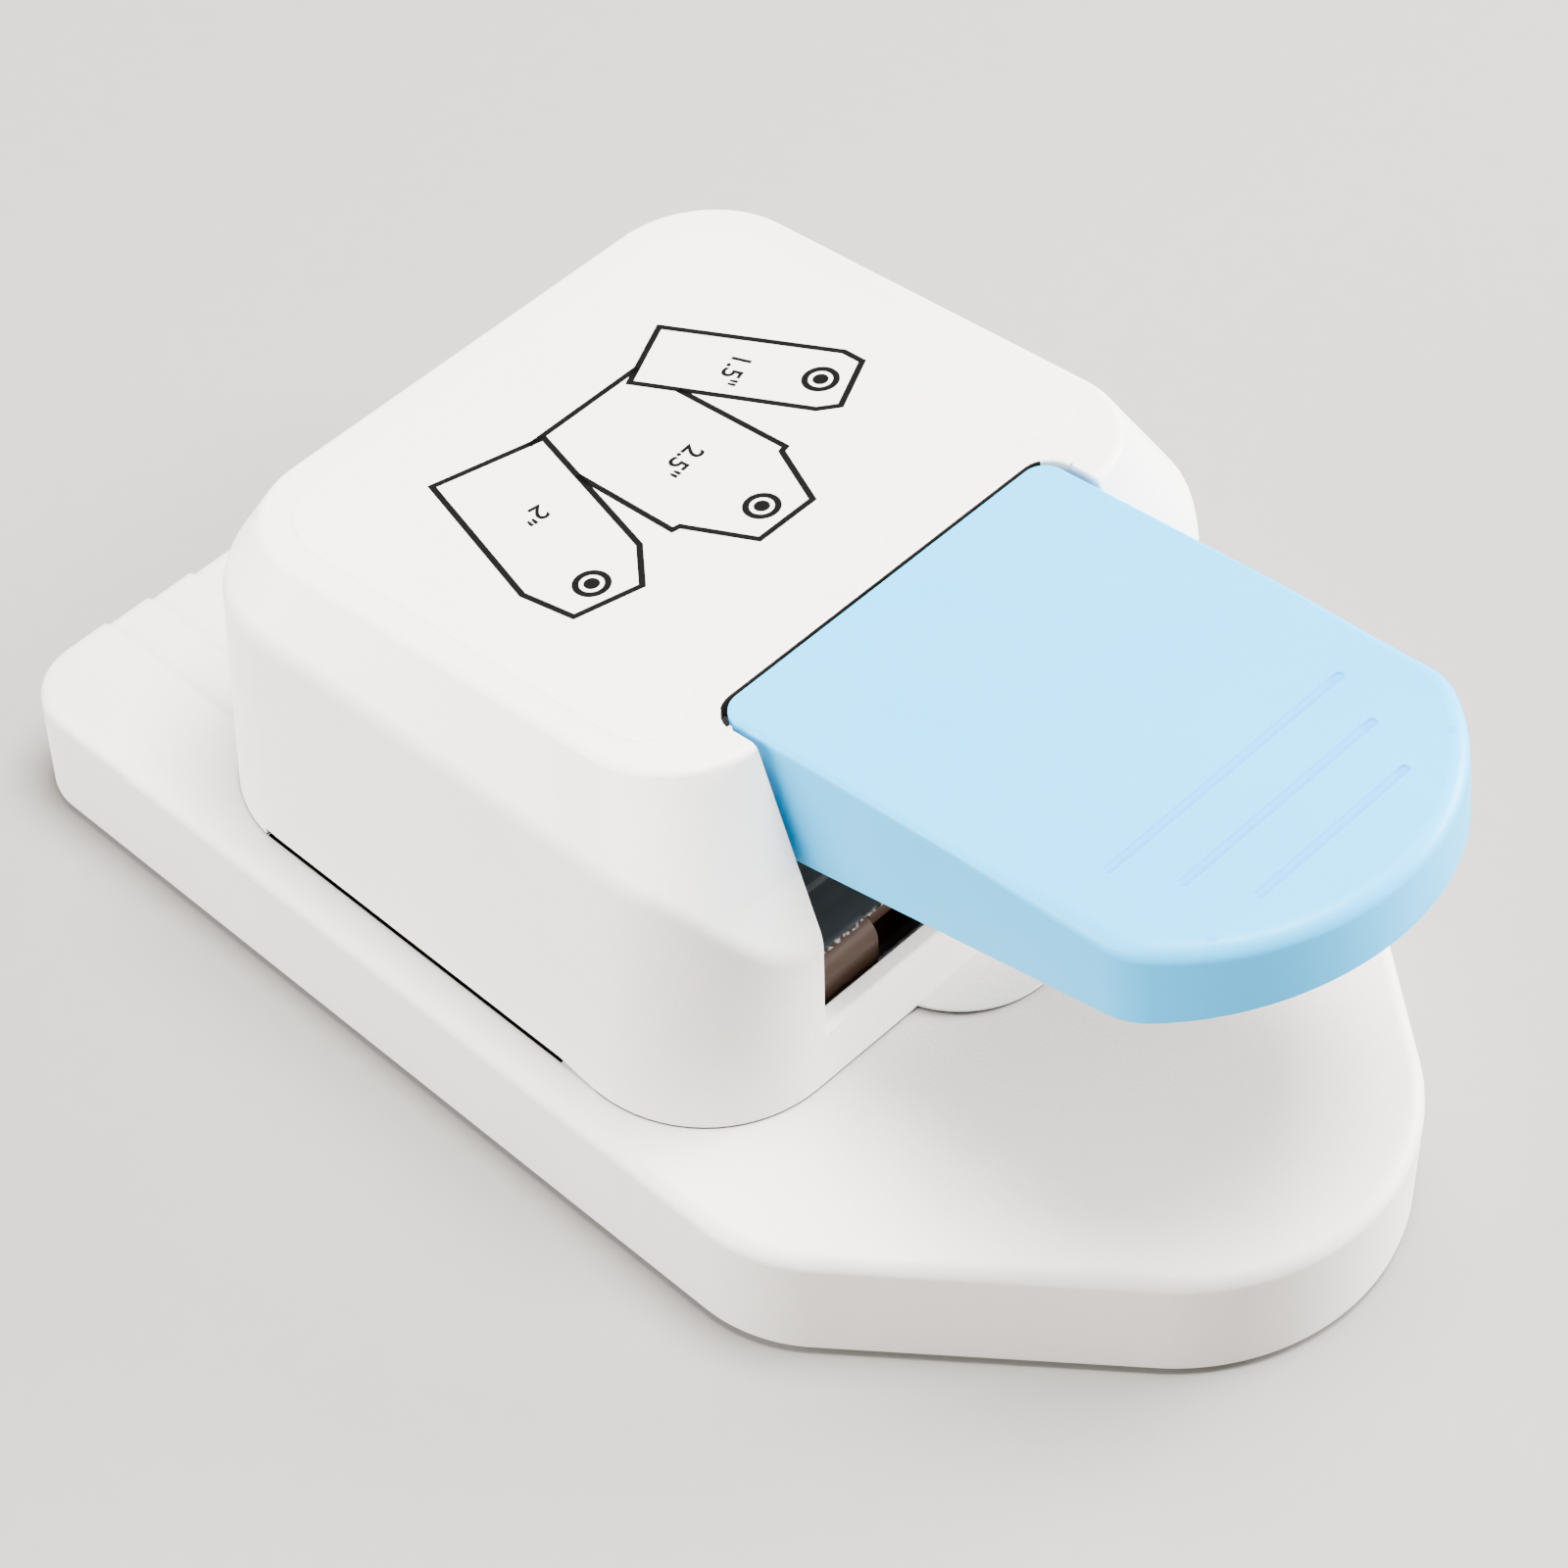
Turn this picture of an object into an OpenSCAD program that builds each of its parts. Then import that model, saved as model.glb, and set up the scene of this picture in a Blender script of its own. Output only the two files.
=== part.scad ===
// Gift tag lever punch: a desk punch that clips the corners of a card strip and punches
// the string hole, for three tag widths. +Z is up, the lever points towards -Y, and the
// origin is on the table below the middle of the punch.

/* [Base] */
// Width of the base across its straight sides
base_w = 94.4; // [92:0.4:98]
// Height of the base top above the table
base_top = 16.15; // [15.8:0.05:18]
// Height that the rubber feet stand proud of the base
foot_proud = 1; // [0.6:0.1:1.6]
// Y of the straight rear edge of the base
base_rear = 78.9; // [77:0.1:82]
// Y of the tip of the round front
base_front = -78.9; // [-82:0.1:-78.5]
// Thickness of the moulded walls of the base
base_wall = 2.4; // [2:0.1:2.8]

/* [Paper guide] */
// Half-width of the widest paper guide
guide_half = 33.75; // [33:0.05:34.2]
// Sideways step from one tag width to the next
guide_step = 6.35; // [6:0.05:6.5]
// Depth of each step
guide_drop = 0.7; // [0.5:0.05:0.8]
// Height of the slot between base and casing
slot_h = 1.2; // [1:0.1:1.4]

/* [Casing] */
// Half-width of the casing where it meets the base
case_half = 42.7; // [42:0.1:43]
// Y of the front of the casing where it meets the base
case_front = -26.9; // [-27.4:0.1:-26.5]
// Y of the rear of the casing where it meets the base
case_rear = 55.2; // [54.5:0.1:56]
// Wall thickness of the casing
case_wall = 2.4; // [2:0.1:2.6]
// Height of the sloping top at the middle of the punch
top_z = 59.9; // [59.5:0.1:61]
// Upward slope of the top towards the front, in degrees
top_pitch = 7.53; // [7.2:0.01:7.8]
// Half-width of the flat top
top_half = 36.5; // [36:0.1:37]
// Half-width of the notch for the lever
notch_half = 25.2; // [25:0.1:25.6]
// Height of the lip below the notch
lip_z = 25; // [24:0.1:26]

/* [Lever] */
// Half-width of the lever
lever_half = 24.4; // [24:0.1:24.6]
// Distance of the lever's rear edge from the middle, along the slope
lever_rear = -11.05; // [-11.5:0.05:-10.95]
// Distance of the lever's nose from the middle, along the slope
lever_nose = -78.4; // [-79:0.1:-77]
// Thickness of the lever's moulded cover
lever_wall = 2; // [1.8:0.1:2.2]
// Y of the lever's pivot
pivot_y = 42; // [41:0.5:43]
// Height of the lever's pivot
pivot_z = 44; // [43:0.5:44.5]

/* [Punch] */
// Height of the top of the press plate at rest
press_top = 29.5; // [29.4:0.05:29.6]
// Y of the line where the shoe bears on the press plate
shoe_y = 6; // [5:0.5:7]
// Half-width of the square end of a tag
tag_tip_half = 15.2; // [14:0.1:16]
// Length of the corner cut along the tag
cut_l = 29.6; // [28:0.1:30]
// Slope of the corner cut, in degrees from the tag's side
cut_angle = 25; // [24:0.5:26]
// Radius of the string hole
hole_r = 2.5; // [2:0.1:2.6]

/* [Hidden] */

$fn = 64;
step_deg = 6;              // angle between the points of a rounded outline
eps = 0.01;

half_w = base_w / 2;
base_bottom = foot_proud;
nose_r = 26.6;             // round front of the base
shoulder_r = 18;
rear_r = 8;
nose_y = base_front + nose_r;
shoulder_y = -30.2;
floor_z = base_top - 3 * guide_drop;   // lowest paper level, level with the die
die_t = 2;
die_half = 38.2;
die_front = -17;
die_rear = 21.5;
die_bottom = floor_z - die_t;
skin = 2.2;                            // thickness of the moulded deck

frame_z = base_top + slot_h;           // underside of the steel frame plate
frame_t = 2;
frame_top = frame_z + frame_t;
guide_t = 2.2;
post_r = 2;
posts = [[-31, 22.5], [31, 22.5], [-8, -9], [8, -9]];
case_posts = [[-35.5, 45], [35.5, 45], [-31, -20.5], [31, -20.5]];
screw_r = 1.5;
fit_gap = 0.05;                        // radial clearance of the running fits
cut_front = -14;                       // line where the tag's end stops
hole_y = cut_front + 13.3;
cutter_out = 33.2;
press_t = 2;
press_under = press_top - press_t;
press_half = 36.5;
press_front = -22;
press_rear = 27;
cutter_z = frame_z + 0.25;             // cutting edges at rest, just above the paper
press_neck = -14.6;                    // the plate narrows in front of this line
tab_in = 14;                           // inner end of each bent-down tab
tab_out = 26.8;
tab_r = 2.6;                           // outer bend radius of the tabs
tab_y = -21;                           // where the bend starts
tab_low = 22.9;
bush_r = 3.2;

pin_r = 2.5;
arm_half = 22;                         // outer half-width of the steel arm
arm_t = 1.6;
bracket_half = 26;
bracket_t = 2;
shoe_r = 5;
shoe_z = press_top + 0.4 + shoe_r;
shoe_pin_z = shoe_z + 5;
shoe_pin_r = 2;
web_drop = 3.4;                        // depth of the arm's web below the sloping top
skirt_slope = 0.25;                    // rise of the lever's lower edge per mm towards the nose
skirt_z0 = 42.65;                      // height of that edge at y = 0

chamber_half = 36;                     // chip chamber under the die
chamber_front = -16;
chamber_rear = 27.5;
door_half = 35.2;
door_front = -15.3;
door_bottom = 1.2;
door_t = 1.6;
hinge_y = 24.8;
hinge_z = 3.4;
hinge_r = 1;
knuckle_r = 2.1;

function arc(cx, cy, r, a0, a1) =
    let (n = max(1, ceil(abs(a1 - a0) / step_deg)))
    [for (i = [0:n]) [cx + r * cos(a0 + (a1 - a0) * i / n), cy + r * sin(a0 + (a1 - a0) * i / n)]];

// the same points on the other side of the Y axis, in reverse order
function mirror_x(points) =
    [for (i = [len(points) - 1:-1:0]) if (points[i].x > eps) [-points[i].x, points[i].y]];

// direction of the outward normal of the line that touches two circles, anticlockwise
function edge_angle(x0, y0, r0, x1, y1, r1) =
    atan2(y1 - y0, x1 - x0) - acos((r0 - r1) / norm([x1 - x0, y1 - y0]));

function base_outline(inset) =
    let (a = edge_angle(0, nose_y, nose_r, half_w - shoulder_r, shoulder_y, shoulder_r),
         right = concat(
             arc(0, nose_y, nose_r - inset, -90, a),
             arc(half_w - shoulder_r, shoulder_y, shoulder_r - inset, a, 0),
             arc(half_w - rear_r, base_rear - rear_r, rear_r - inset, 0, 90)))
    concat(right, mirror_x(right));

// rounded rectangle about the Y axis
function round_box(half, y0, y1, r) = concat(
    arc(half - r, y0 + r, r, -90, 0), arc(half - r, y1 - r, r, 0, 90),
    arc(-half + r, y1 - r, r, 90, 180), arc(-half + r, y0 + r, r, 180, 270));

module plate(points, z, t = 0.05) {
    translate([0, 0, z]) linear_extrude(t) polygon(points);
}

// puts a child, drawn flat with z = 0 as the top surface, on the sloping top
module on_top() {
    translate([0, 0, top_z]) rotate([-top_pitch, 0, 0]) children();
}

module each_side() {
    children();
    mirror([1, 0, 0]) children();
}

// cylinder along X, centred on x = 0
module x_bar(y, z, r, length) {
    translate([-length / 2, y, z]) rotate([0, 90, 0]) cylinder(r = r, h = length);
}

module at(places) {
    for (p = places) translate([p.x, p.y, 0]) children();
}

// plan of the card corner that one cutter takes away, grown by a clearance
module corner_plan(grow = 0) {
    lean = tan(cut_angle);
    side = grow / cos(cut_angle);
    polygon([
        [tag_tip_half - side - lean * grow, cut_front - grow],
        [cutter_out + grow, cut_front - grow],
        [cutter_out + grow, cut_front + cut_l + grow],
        [tag_tip_half + lean * (cut_l + grow) - side, cut_front + cut_l + grow]]);
}

module cutter_openings(z, t, grow) {
    each_side() translate([0, 0, z]) linear_extrude(t) corner_plan(grow);
    translate([0, hole_y, z]) cylinder(r = hole_r + fit_gap, h = t);
}

foot_r = 6;
foot_spots = [[-37, 68], [37, 68], [-31, -39], [31, -39]];
die_screw_spots = [[-36.3, -12.5], [36.3, -12.5], [-36.3, 19], [36.3, 19]];
rivet_spots = [[-15, 38], [15, 38], [-15, 46], [15, 46]];
guide_rivet_spots = [[-11, 11], [11, 11], [0, -9.5]];
cutter_screw_spots = [[-29, -9], [-30.5, 10], [29, -9], [30.5, 10]];
lever_screw_spots = [-20, -38, -56];   // along the slope
label_t = 0.3;
grooves = [[-56.4, 17.6], [-63.1, 14.5], [-69.7, 11.3]];   // place along the slope, half-length
groove_r = 0.6;
groove_d = 0.35;
spring_r = 4.05;
spring_wire = 0.35;
spring_turns = 4;

module base_body() {
    edge = 0.6;
    plate(base_outline(0), base_bottom, base_top - base_bottom - edge);
    plate(base_outline(edge), base_top - edge, edge);
}

// stepped paper channel that runs in from the rear edge
module paper_channel() {
    for (i = [0:2]) {
        half = guide_half - i * guide_step;
        translate([-half, die_rear - 1, base_top - (i + 1) * guide_drop])
            cube([2 * half, base_rear - die_rear + 5, 10]);
    }
}

// hollow underside, shallower below the die
module base_hollow() {
    ceiling = floor_z - skin;
    difference() {
        plate(base_outline(base_wall), base_bottom - 1, ceiling - base_bottom + 1);
        translate([-die_half - 3, die_front - 3, die_bottom - skin])
            cube([2 * die_half + 6, die_rear - die_front + 6, 20]);
    }
}

module base_inner_walls() {
    deck = die_bottom - skin + eps;
    rib_z = base_bottom + 4;
    // chip chamber
    difference() {
        translate([-chamber_half - 2, chamber_front - 2, base_bottom])
            cube([2 * chamber_half + 4, chamber_rear - chamber_front + 4, 12]);
        translate([-chamber_half, chamber_front, 0])
            cube([2 * chamber_half, chamber_rear - chamber_front, deck]);
    }
    // screw bosses and foot pads
    at(case_posts) translate([0, 0, base_bottom]) cylinder(r = 4, h = 12);
    at(foot_spots) translate([0, 0, base_bottom]) cylinder(r = foot_r + 1.4, h = 12);
    // stiffening ribs
    for (x = [-18, 0, 18])
        translate([x - 0.8, base_front + 2, rib_z])
            cube([1.6, chamber_front - base_front - 3, 8]);
    for (y = [-45, 56])
        translate([-half_w + 2, y, rib_z]) cube([base_w - 4, 1.6, 6]);
}

module base_shell() {
    color("ivory") difference() {
        union() {
            difference() {
                base_body();
                base_hollow();
            }
            intersection() {
                base_body();
                base_inner_walls();
            }
        }
        paper_channel();
        // seat of the die plate and the chip hole below it
        translate([-die_half - 0.1, die_front - 0.1, die_bottom])
            cube([2 * die_half + 0.2, die_rear - die_front + 0.2, 10]);
        translate([-34.2, -15.2, 5]) cube([68.4, 32.4, 20]);
        // relief below the side slots of the casing
        each_side() translate([38.5, -4.8, base_top - 2.5]) cube([4, 43.8, 10]);
        // screw holes from below, with room for the heads
        at(case_posts) {
            cylinder(r = screw_r + fit_gap, h = 30);
            cylinder(r = 3.1, h = 5);
        }
        at(die_screw_spots) translate([0, 0, 8]) cylinder(r = 1.05, h = 10);
        at(foot_spots) cylinder(r = foot_r + 0.1, h = 2.4);
        x_bar(hinge_y, hinge_z, hinge_r + 0.02, 2 * chamber_half + 3.4);
    }
}

module rubber_feet() {
    color("dimgray") at(foot_spots) {
        translate([0, 0, 0.5 - eps]) cylinder(r = foot_r, h = 1.9);
        cylinder(r1 = foot_r - 0.6, r2 = foot_r, h = 0.5);
    }
}

module die_plate() {
    color("silver") difference() {
        translate([-die_half, die_front, die_bottom])
            cube([2 * die_half, die_rear - die_front, die_t]);
        cutter_openings(die_bottom - 1, die_t + 2, fit_gap);
        at(die_screw_spots) {
            translate([0, 0, die_bottom - 1]) cylinder(r = 1.05, h = die_t + 2);
            translate([0, 0, floor_z - 0.9]) cylinder(r = 1.75, h = 2);
        }
    }
}

module die_screws() {
    color("gray") at(die_screw_spots) {
        translate([0, 0, die_bottom - 2.9]) cylinder(r = 1, h = die_t + 2.05);
        difference() {
            translate([0, 0, floor_z - 0.9]) cylinder(r = 1.7, h = 0.8);
            translate([-1.2, -0.25, floor_z - 0.5]) cube([2.4, 0.5, 1]);
        }
    }
}

module spacer_washers() {
    color("silver") at(case_posts) difference() {
        translate([0, 0, base_top]) cylinder(r = 2.9, h = slot_h);
        translate([0, 0, base_top - 1]) cylinder(r = screw_r + fit_gap, h = slot_h + 2);
    }
}

// steel plate that carries the guide, the posts and the bracket
module frame_plate() {
    color("silver") difference() {
        union() {
            translate([-38, -12, frame_z]) cube([76, 52, frame_t]);
            translate([-31, -20, frame_z]) cube([62, 10, frame_t]);
            translate([-34.5, 38, frame_z]) cube([69, 10, frame_t]);
            at(case_posts) translate([0, 0, frame_z]) cylinder(r = 2.8, h = frame_t);
        }
        cutter_openings(frame_z - 1, frame_t + 2, 0.15);
        at(case_posts) translate([0, 0, frame_z - 1])
            cylinder(r = screw_r + fit_gap, h = frame_t + 2);
        at(posts) translate([0, 0, frame_z - 1]) cylinder(r = post_r, h = frame_t + 2);
        at(rivet_spots) translate([0, 0, frame_z - 1]) cylinder(r = 1.5, h = frame_t + 2);
        at(guide_rivet_spots) translate([0, 0, frame_z - 1]) cylinder(r = 1, h = frame_t + 2);
    }
}

module punch_guide() {
    color("darkgray") difference() {
        translate([-36, -15.6, frame_top]) cube([72, 33, guide_t]);
        cutter_openings(frame_top - 1, guide_t + 2, fit_gap);
        at(posts) translate([0, 0, frame_top - 1]) cylinder(r = 4.7, h = guide_t + 2);
        at(guide_rivet_spots) translate([0, 0, frame_top - 1])
            cylinder(r = 1, h = guide_t + 2);
    }
}

module guide_posts() {
    color("gainsboro") {
        at(posts) {
            translate([0, 0, frame_z + 0.1]) cylinder(r = post_r, h = 15);
            translate([0, 0, frame_z + 15.1]) cylinder(r1 = post_r, r2 = post_r - 0.5, h = 0.5);
        }
        at(guide_rivet_spots) translate([0, 0, frame_z]) cylinder(r = 1, h = frame_t + guide_t);
    }
}

// folded steel bracket that holds the lever's pivot pin
module pivot_bracket() {
    color("silver") difference() {
        union() {
            translate([-bracket_half, 34, frame_top]) cube([2 * bracket_half, 15, bracket_t]);
            each_side() translate([bracket_half - bracket_t, 34, frame_top])
                cube([bracket_t, 15, 10]);
            each_side() translate([bracket_half - bracket_t, pivot_y - 6, frame_top])
                cube([bracket_t, 12, pivot_z - frame_top]);
            each_side() translate([bracket_half - bracket_t, pivot_y, pivot_z])
                rotate([0, 90, 0]) cylinder(r = 6, h = bracket_t);
        }
        x_bar(pivot_y, pivot_z, pin_r, 3 * bracket_half);
        at(rivet_spots) translate([0, 0, frame_top - 1]) cylinder(r = 1.5, h = bracket_t + 2);
    }
}

module bracket_rivets() {
    color("gainsboro") at(rivet_spots) {
        translate([0, 0, frame_z]) cylinder(r = 1.5, h = frame_t + bracket_t + eps);
        translate([0, 0, frame_top + bracket_t]) cylinder(r1 = 2.6, r2 = 1.8, h = 1);
    }
}

// groove for a clip near each end of the pivot pin
module clip_ring(outer, inner, x, t) {
    each_side() translate([x, pivot_y, pivot_z]) rotate([0, 90, 0]) difference() {
        cylinder(r = outer, h = t);
        translate([0, 0, -1]) cylinder(r = inner, h = t + 2);
    }
}

module pivot_pin() {
    color("gainsboro") difference() {
        x_bar(pivot_y, pivot_z, pin_r, 2 * bracket_half + 6);
        clip_ring(pin_r + 1, pin_r - 0.6, bracket_half + 0.5, 0.9);
    }
}

module pivot_clips() {
    color("dimgray") difference() {
        clip_ring(4.4, pin_r - 0.58, bracket_half + 0.55, 0.8);
        translate([-40, pivot_y - 1.4, pivot_z]) cube([80, 2.8, 8]);
    }
}

// the casing's outer form, from a level up to the sloping top, shrunk by a wall thickness
module case_solid(wall, low) {
    lean = 0.9;                       // the lower walls draw in by this much
    crease_z = 50.3;
    front_crease = 39.4;
    crease_pitch = 3.4;
    edge = wall > 0 ? 0.2 : 1.3;
    r = 16 - wall;
    top_r = 12 - 0.7 * wall;
    half = top_half - 0.7 * wall;
    front = -17.9 + wall;
    rear = 51.9 - wall;
    hull() {
        plate(round_box(case_half - wall, case_front + wall, case_rear - wall, r), low);
        plate(round_box(case_half - wall - lean, case_front + wall + 0.3,
            case_rear - wall - lean, r), front_crease);
        translate([0, 0, crease_z]) rotate([-crease_pitch, 0, 0])
            plate(round_box(case_half - wall - 1.2, -21 + wall, case_rear - wall - 1.2, r), 0);
        on_top() {
            plate(round_box(half, front, rear, top_r), -wall - edge);
            plate(round_box(half - 0.3 * edge, front + 0.3 * edge, rear - 0.3 * edge,
                top_r - 0.3 * edge), -wall - 0.3 * edge);
            plate(round_box(half - edge, front + edge, rear - edge, top_r - edge), -wall - 0.05);
        }
    }
}

// printed label: straight behind the lever, with a lobe at each front corner
module label_plan(grow = 0) {
    right = concat(
        arc(21.2, -13.1, 6.6 - grow, 90, 44.6),
        arc(28.9, -5.5, 4.2 + grow, -135.4, 0),
        arc(24.1, 39, 9 + grow, 0, 90));
    polygon(concat(right, mirror_x(right)));
}

module upper_shell() {
    color("whitesmoke") difference() {
        union() {
            difference() {
                case_solid(0, base_top);
                case_solid(case_wall, base_top - 1);
            }
            // bosses for the case screws
            intersection() {
                case_solid(0.5, base_top);
                union() {
                    at(case_posts) translate([0, 0, frame_top]) cylinder(r = 3.2, h = 11);
                    each_side() translate([35, 44, frame_top]) cube([7, 2, 11]);
                    each_side() translate([30, -27, frame_top]) cube([2, 6, 11]);
                }
            }
            // low round tongue on the base in front of the lip
            difference() {
                translate([0, -22.2, base_top]) rotate_extrude()
                    polygon([[0, 0], [12.4, 0], [12.4, 0.5], [11.9, 0.95], [0, 1.25]]);
                translate([-20, case_front + case_wall, base_top - 1]) cube([40, 20, 4]);
            }
        }
        at(case_posts) translate([0, 0, frame_top - 1]) cylinder(r = screw_r + fit_gap, h = 10);
        // notch for the lever, open to the front above the lip
        translate([0, 0, lip_z]) linear_extrude(60)
            polygon(round_box(notch_half, -60, -10.55, 3.4));
        // paper slot along each side
        translate([-60, -4.8, base_top - 1]) cube([120, 45.8, 1 + slot_h]);
        // paper way through the rear wall
        translate([-guide_half, 40, base_top - 1]) cube([2 * guide_half, 30, 1 + slot_h]);
        // seat of the printed label
        on_top() translate([0, 0, -label_t]) linear_extrude(2) label_plan(0.1);
    }
}

module top_label() {
    color("white") on_top() translate([0, 0, -label_t]) linear_extrude(label_t - 0.05)
        label_plan();
}

module case_screws() {
    color("gray") at(case_posts) {
        translate([0, 0, 4]) cylinder(r = screw_r, h = 23);
        difference() {
            translate([0, 0, 2.6]) cylinder(r = 2.9, h = 2.38);
            translate([-0.4, -2, 2]) cube([0.8, 4, 1.6]);
            translate([-2, -0.4, 2]) cube([4, 0.8, 1.6]);
        }
    }
}

function lever_outline(inset) =
    let (nose = 28, side = 8, back = 3,
         cx = lever_half - side,
         turn = asin(cx / (nose - side)),
         ny = lever_nose + nose,
         sy = ny - (nose - side) * cos(turn),
         right = concat(
             arc(0, ny, nose - inset, -90, -90 + turn),
             arc(cx, sy, side - inset, -90 + turn, 0),
             arc(lever_half - back, lever_rear - back, back - inset, 0, 90)))
    concat(right, mirror_x(right));

// everything above the lever's slanting lower edge
module above_skirt() {
    translate([0, 0, skirt_z0]) rotate([-atan(skirt_slope), 0, 0])
        translate([-60, -150, 0]) cube([120, 200, 90]);
}

module lever_cover() {
    edge = 0.5;
    pad_r = 3.4;
    color("skyblue") difference() {
        union() {
            difference() {
                intersection() {
                    on_top() {
                        plate(lever_outline(0), -30, 30 - edge);
                        plate(lever_outline(edge), -edge, edge);
                    }
                    above_skirt();
                }
                on_top() translate([0, 0, -60]) linear_extrude(60 - lever_wall)
                    polygon(lever_outline(lever_wall));
                // the steel arm comes in through the open rear
                on_top() translate([-lever_half + lever_wall, -16, -60])
                    cube([2 * (lever_half - lever_wall), 20, 60 - lever_wall]);
            }
            on_top() at([for (s = lever_screw_spots) [0, s]])
                translate([0, 0, -web_drop]) cylinder(r = pad_r, h = web_drop - lever_wall + eps);
        }
        for (g = grooves)
            on_top() translate([-g[1], g[0], groove_r - groove_d]) rotate([0, 90, 0])
                cylinder(r = groove_r, h = 2 * g[1]);
        on_top() at([for (s = lever_screw_spots) [0, s]])
            translate([0, 0, -web_drop - 1]) cylinder(r = screw_r + fit_gap, h = 3.2);
    }
}

// side view of the steel arm's flanges
module arm_side() {
    web = [for (y = [pivot_y, -64]) [y, top_z - web_drop - y * tan(top_pitch)]];
    polygon([web[0], web[1], [-64, skirt_z0 + skirt_slope * 64 + 1],
        [-15, skirt_z0 + skirt_slope * 15 + 1], [-5, 42], [shoe_y - 7, shoe_pin_z - 4],
        [shoe_y + 7, shoe_pin_z - 4], [pivot_y, pivot_z - 6]]);
    translate([pivot_y, pivot_z]) circle(r = 6);
}

module lever_arm() {
    color("silver") difference() {
        intersection() {
            union() {
                each_side() translate([arm_half, 0, 0]) rotate([90, 0, -90])
                    linear_extrude(arm_t) mirror([1, 0]) arm_side();
                on_top() translate([-arm_half, -70, -web_drop - arm_t])
                    cube([2 * arm_half, 70 + pivot_y, arm_t]);
            }
            on_top() translate([0, 0, -60]) linear_extrude(60) union() {
                polygon(lever_outline(lever_wall + 0.3));
                translate([-arm_half, -20]) square([2 * arm_half, 90]);
            }
        }
        x_bar(pivot_y, pivot_z, pin_r + fit_gap, 3 * arm_half);
        x_bar(shoe_y, shoe_pin_z, shoe_pin_r, 3 * arm_half);
        on_top() at([for (s = lever_screw_spots) [0, s]])
            translate([0, 0, -web_drop - 4]) cylinder(r = screw_r + fit_gap, h = 6);
    }
}

module lever_screws() {
    color("gray") on_top() at([for (s = lever_screw_spots) [0, s]]) {
        translate([0, 0, -web_drop - arm_t - 0.1]) cylinder(r = screw_r, h = 3.8);
        difference() {
            translate([0, 0, -web_drop - arm_t - 1.8]) cylinder(r = 2.9, h = 1.8);
            translate([-2, -0.4, -web_drop - arm_t - 2.8]) cube([4, 0.8, 1.8]);
        }
    }
}

// plastic block on the arm that pushes the press plate down
module press_shoe() {
    half = arm_half - arm_t - 0.2;
    color("ghostwhite") difference() {
        union() {
            x_bar(shoe_y, shoe_z, shoe_r, 2 * half);
            translate([-half, shoe_y - shoe_r, shoe_z]) cube([2 * half, 2 * shoe_r, 8.5]);
        }
        x_bar(shoe_y, shoe_pin_z, shoe_pin_r, 3 * half);
    }
}

module shoe_pin() {
    color("gainsboro") {
        x_bar(shoe_y, shoe_pin_z, shoe_pin_r, 2 * arm_half + 1);
        each_side() translate([arm_half, shoe_y, shoe_pin_z]) rotate([0, 90, 0])
            cylinder(r1 = 3, r2 = 2.4, h = 1);
    }
}

module press_plate() {
    tab_w = tab_out - tab_in;
    color("slategray") difference() {
        union() {
            translate([0, 0, press_under]) linear_extrude(press_t) {
                polygon(round_box(press_half, press_neck, press_rear, 2));
                polygon(round_box(tab_in, press_front, press_neck + 4, 0.5));
                translate([-tab_out, tab_y]) square([2 * tab_out, press_neck - tab_y + 2]);
            }
            each_side() translate([tab_in, 0, 0]) {
                // quarter bend, then the flat of the tab
                intersection() {
                    translate([0, tab_y, press_top - tab_r]) rotate([0, 90, 0]) difference() {
                        cylinder(r = tab_r, h = tab_w);
                        translate([0, 0, -1]) cylinder(r = tab_r - press_t, h = tab_w + 2);
                    }
                    translate([0, tab_y - 5, press_top - tab_r]) cube([tab_w, 5, 5]);
                }
                translate([0, tab_y - tab_r, tab_low])
                    cube([tab_w, press_t, press_top - tab_r - tab_low]);
            }
        }
        at(posts) translate([0, 0, press_under - 1]) cylinder(r = bush_r, h = press_t + 2);
        at(cutter_screw_spots) translate([0, 0, press_under - 1])
            cylinder(r = 1.3, h = press_t + 2);
        translate([0, hole_y, press_under - 1]) cylinder(r = 1.8, h = press_t + 2);
    }
}

module corner_cutter() {
    color("lightgray") difference() {
        translate([0, 0, cutter_z]) linear_extrude(press_under - cutter_z) corner_plan();
        at(cutter_screw_spots) translate([0, 0, cutter_z + 3]) cylinder(r = 1.3, h = 20);
    }
}

module corner_cutter_right() {
    corner_cutter();
}

module corner_cutter_left() {
    mirror([1, 0, 0]) corner_cutter();
}

module hole_cutter() {
    color("lightgray") translate([0, hole_y, 0]) {
        difference() {
            translate([0, 0, cutter_z]) cylinder(r = hole_r, h = press_under - cutter_z);
            translate([0, 0, cutter_z - 1]) cylinder(r = hole_r - 0.6, h = 2.5);
        }
        translate([0, 0, press_under - eps]) cylinder(r = 1.8, h = press_t);
    }
}

module cutter_screws() {
    color("gray") at(cutter_screw_spots) {
        translate([0, 0, cutter_z + 3.5]) cylinder(r = 1.25, h = press_top - cutter_z - 3.4);
        difference() {
            translate([0, 0, press_top]) cylinder(r = 2.3, h = 1.4);
            translate([-1.6, -0.3, press_top + 0.7]) cube([3.2, 0.6, 1]);
        }
    }
}

module post_bushes() {
    color("ghostwhite") at(posts) difference() {
        union() {
            translate([0, 0, press_under - 1.9]) cylinder(r = bush_r, h = 6);
            translate([0, 0, press_top]) cylinder(r = bush_r + 0.8, h = 0.8);
        }
        translate([0, 0, press_under - 4]) cylinder(r = post_r + fit_gap, h = 10);
    }
}

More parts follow.
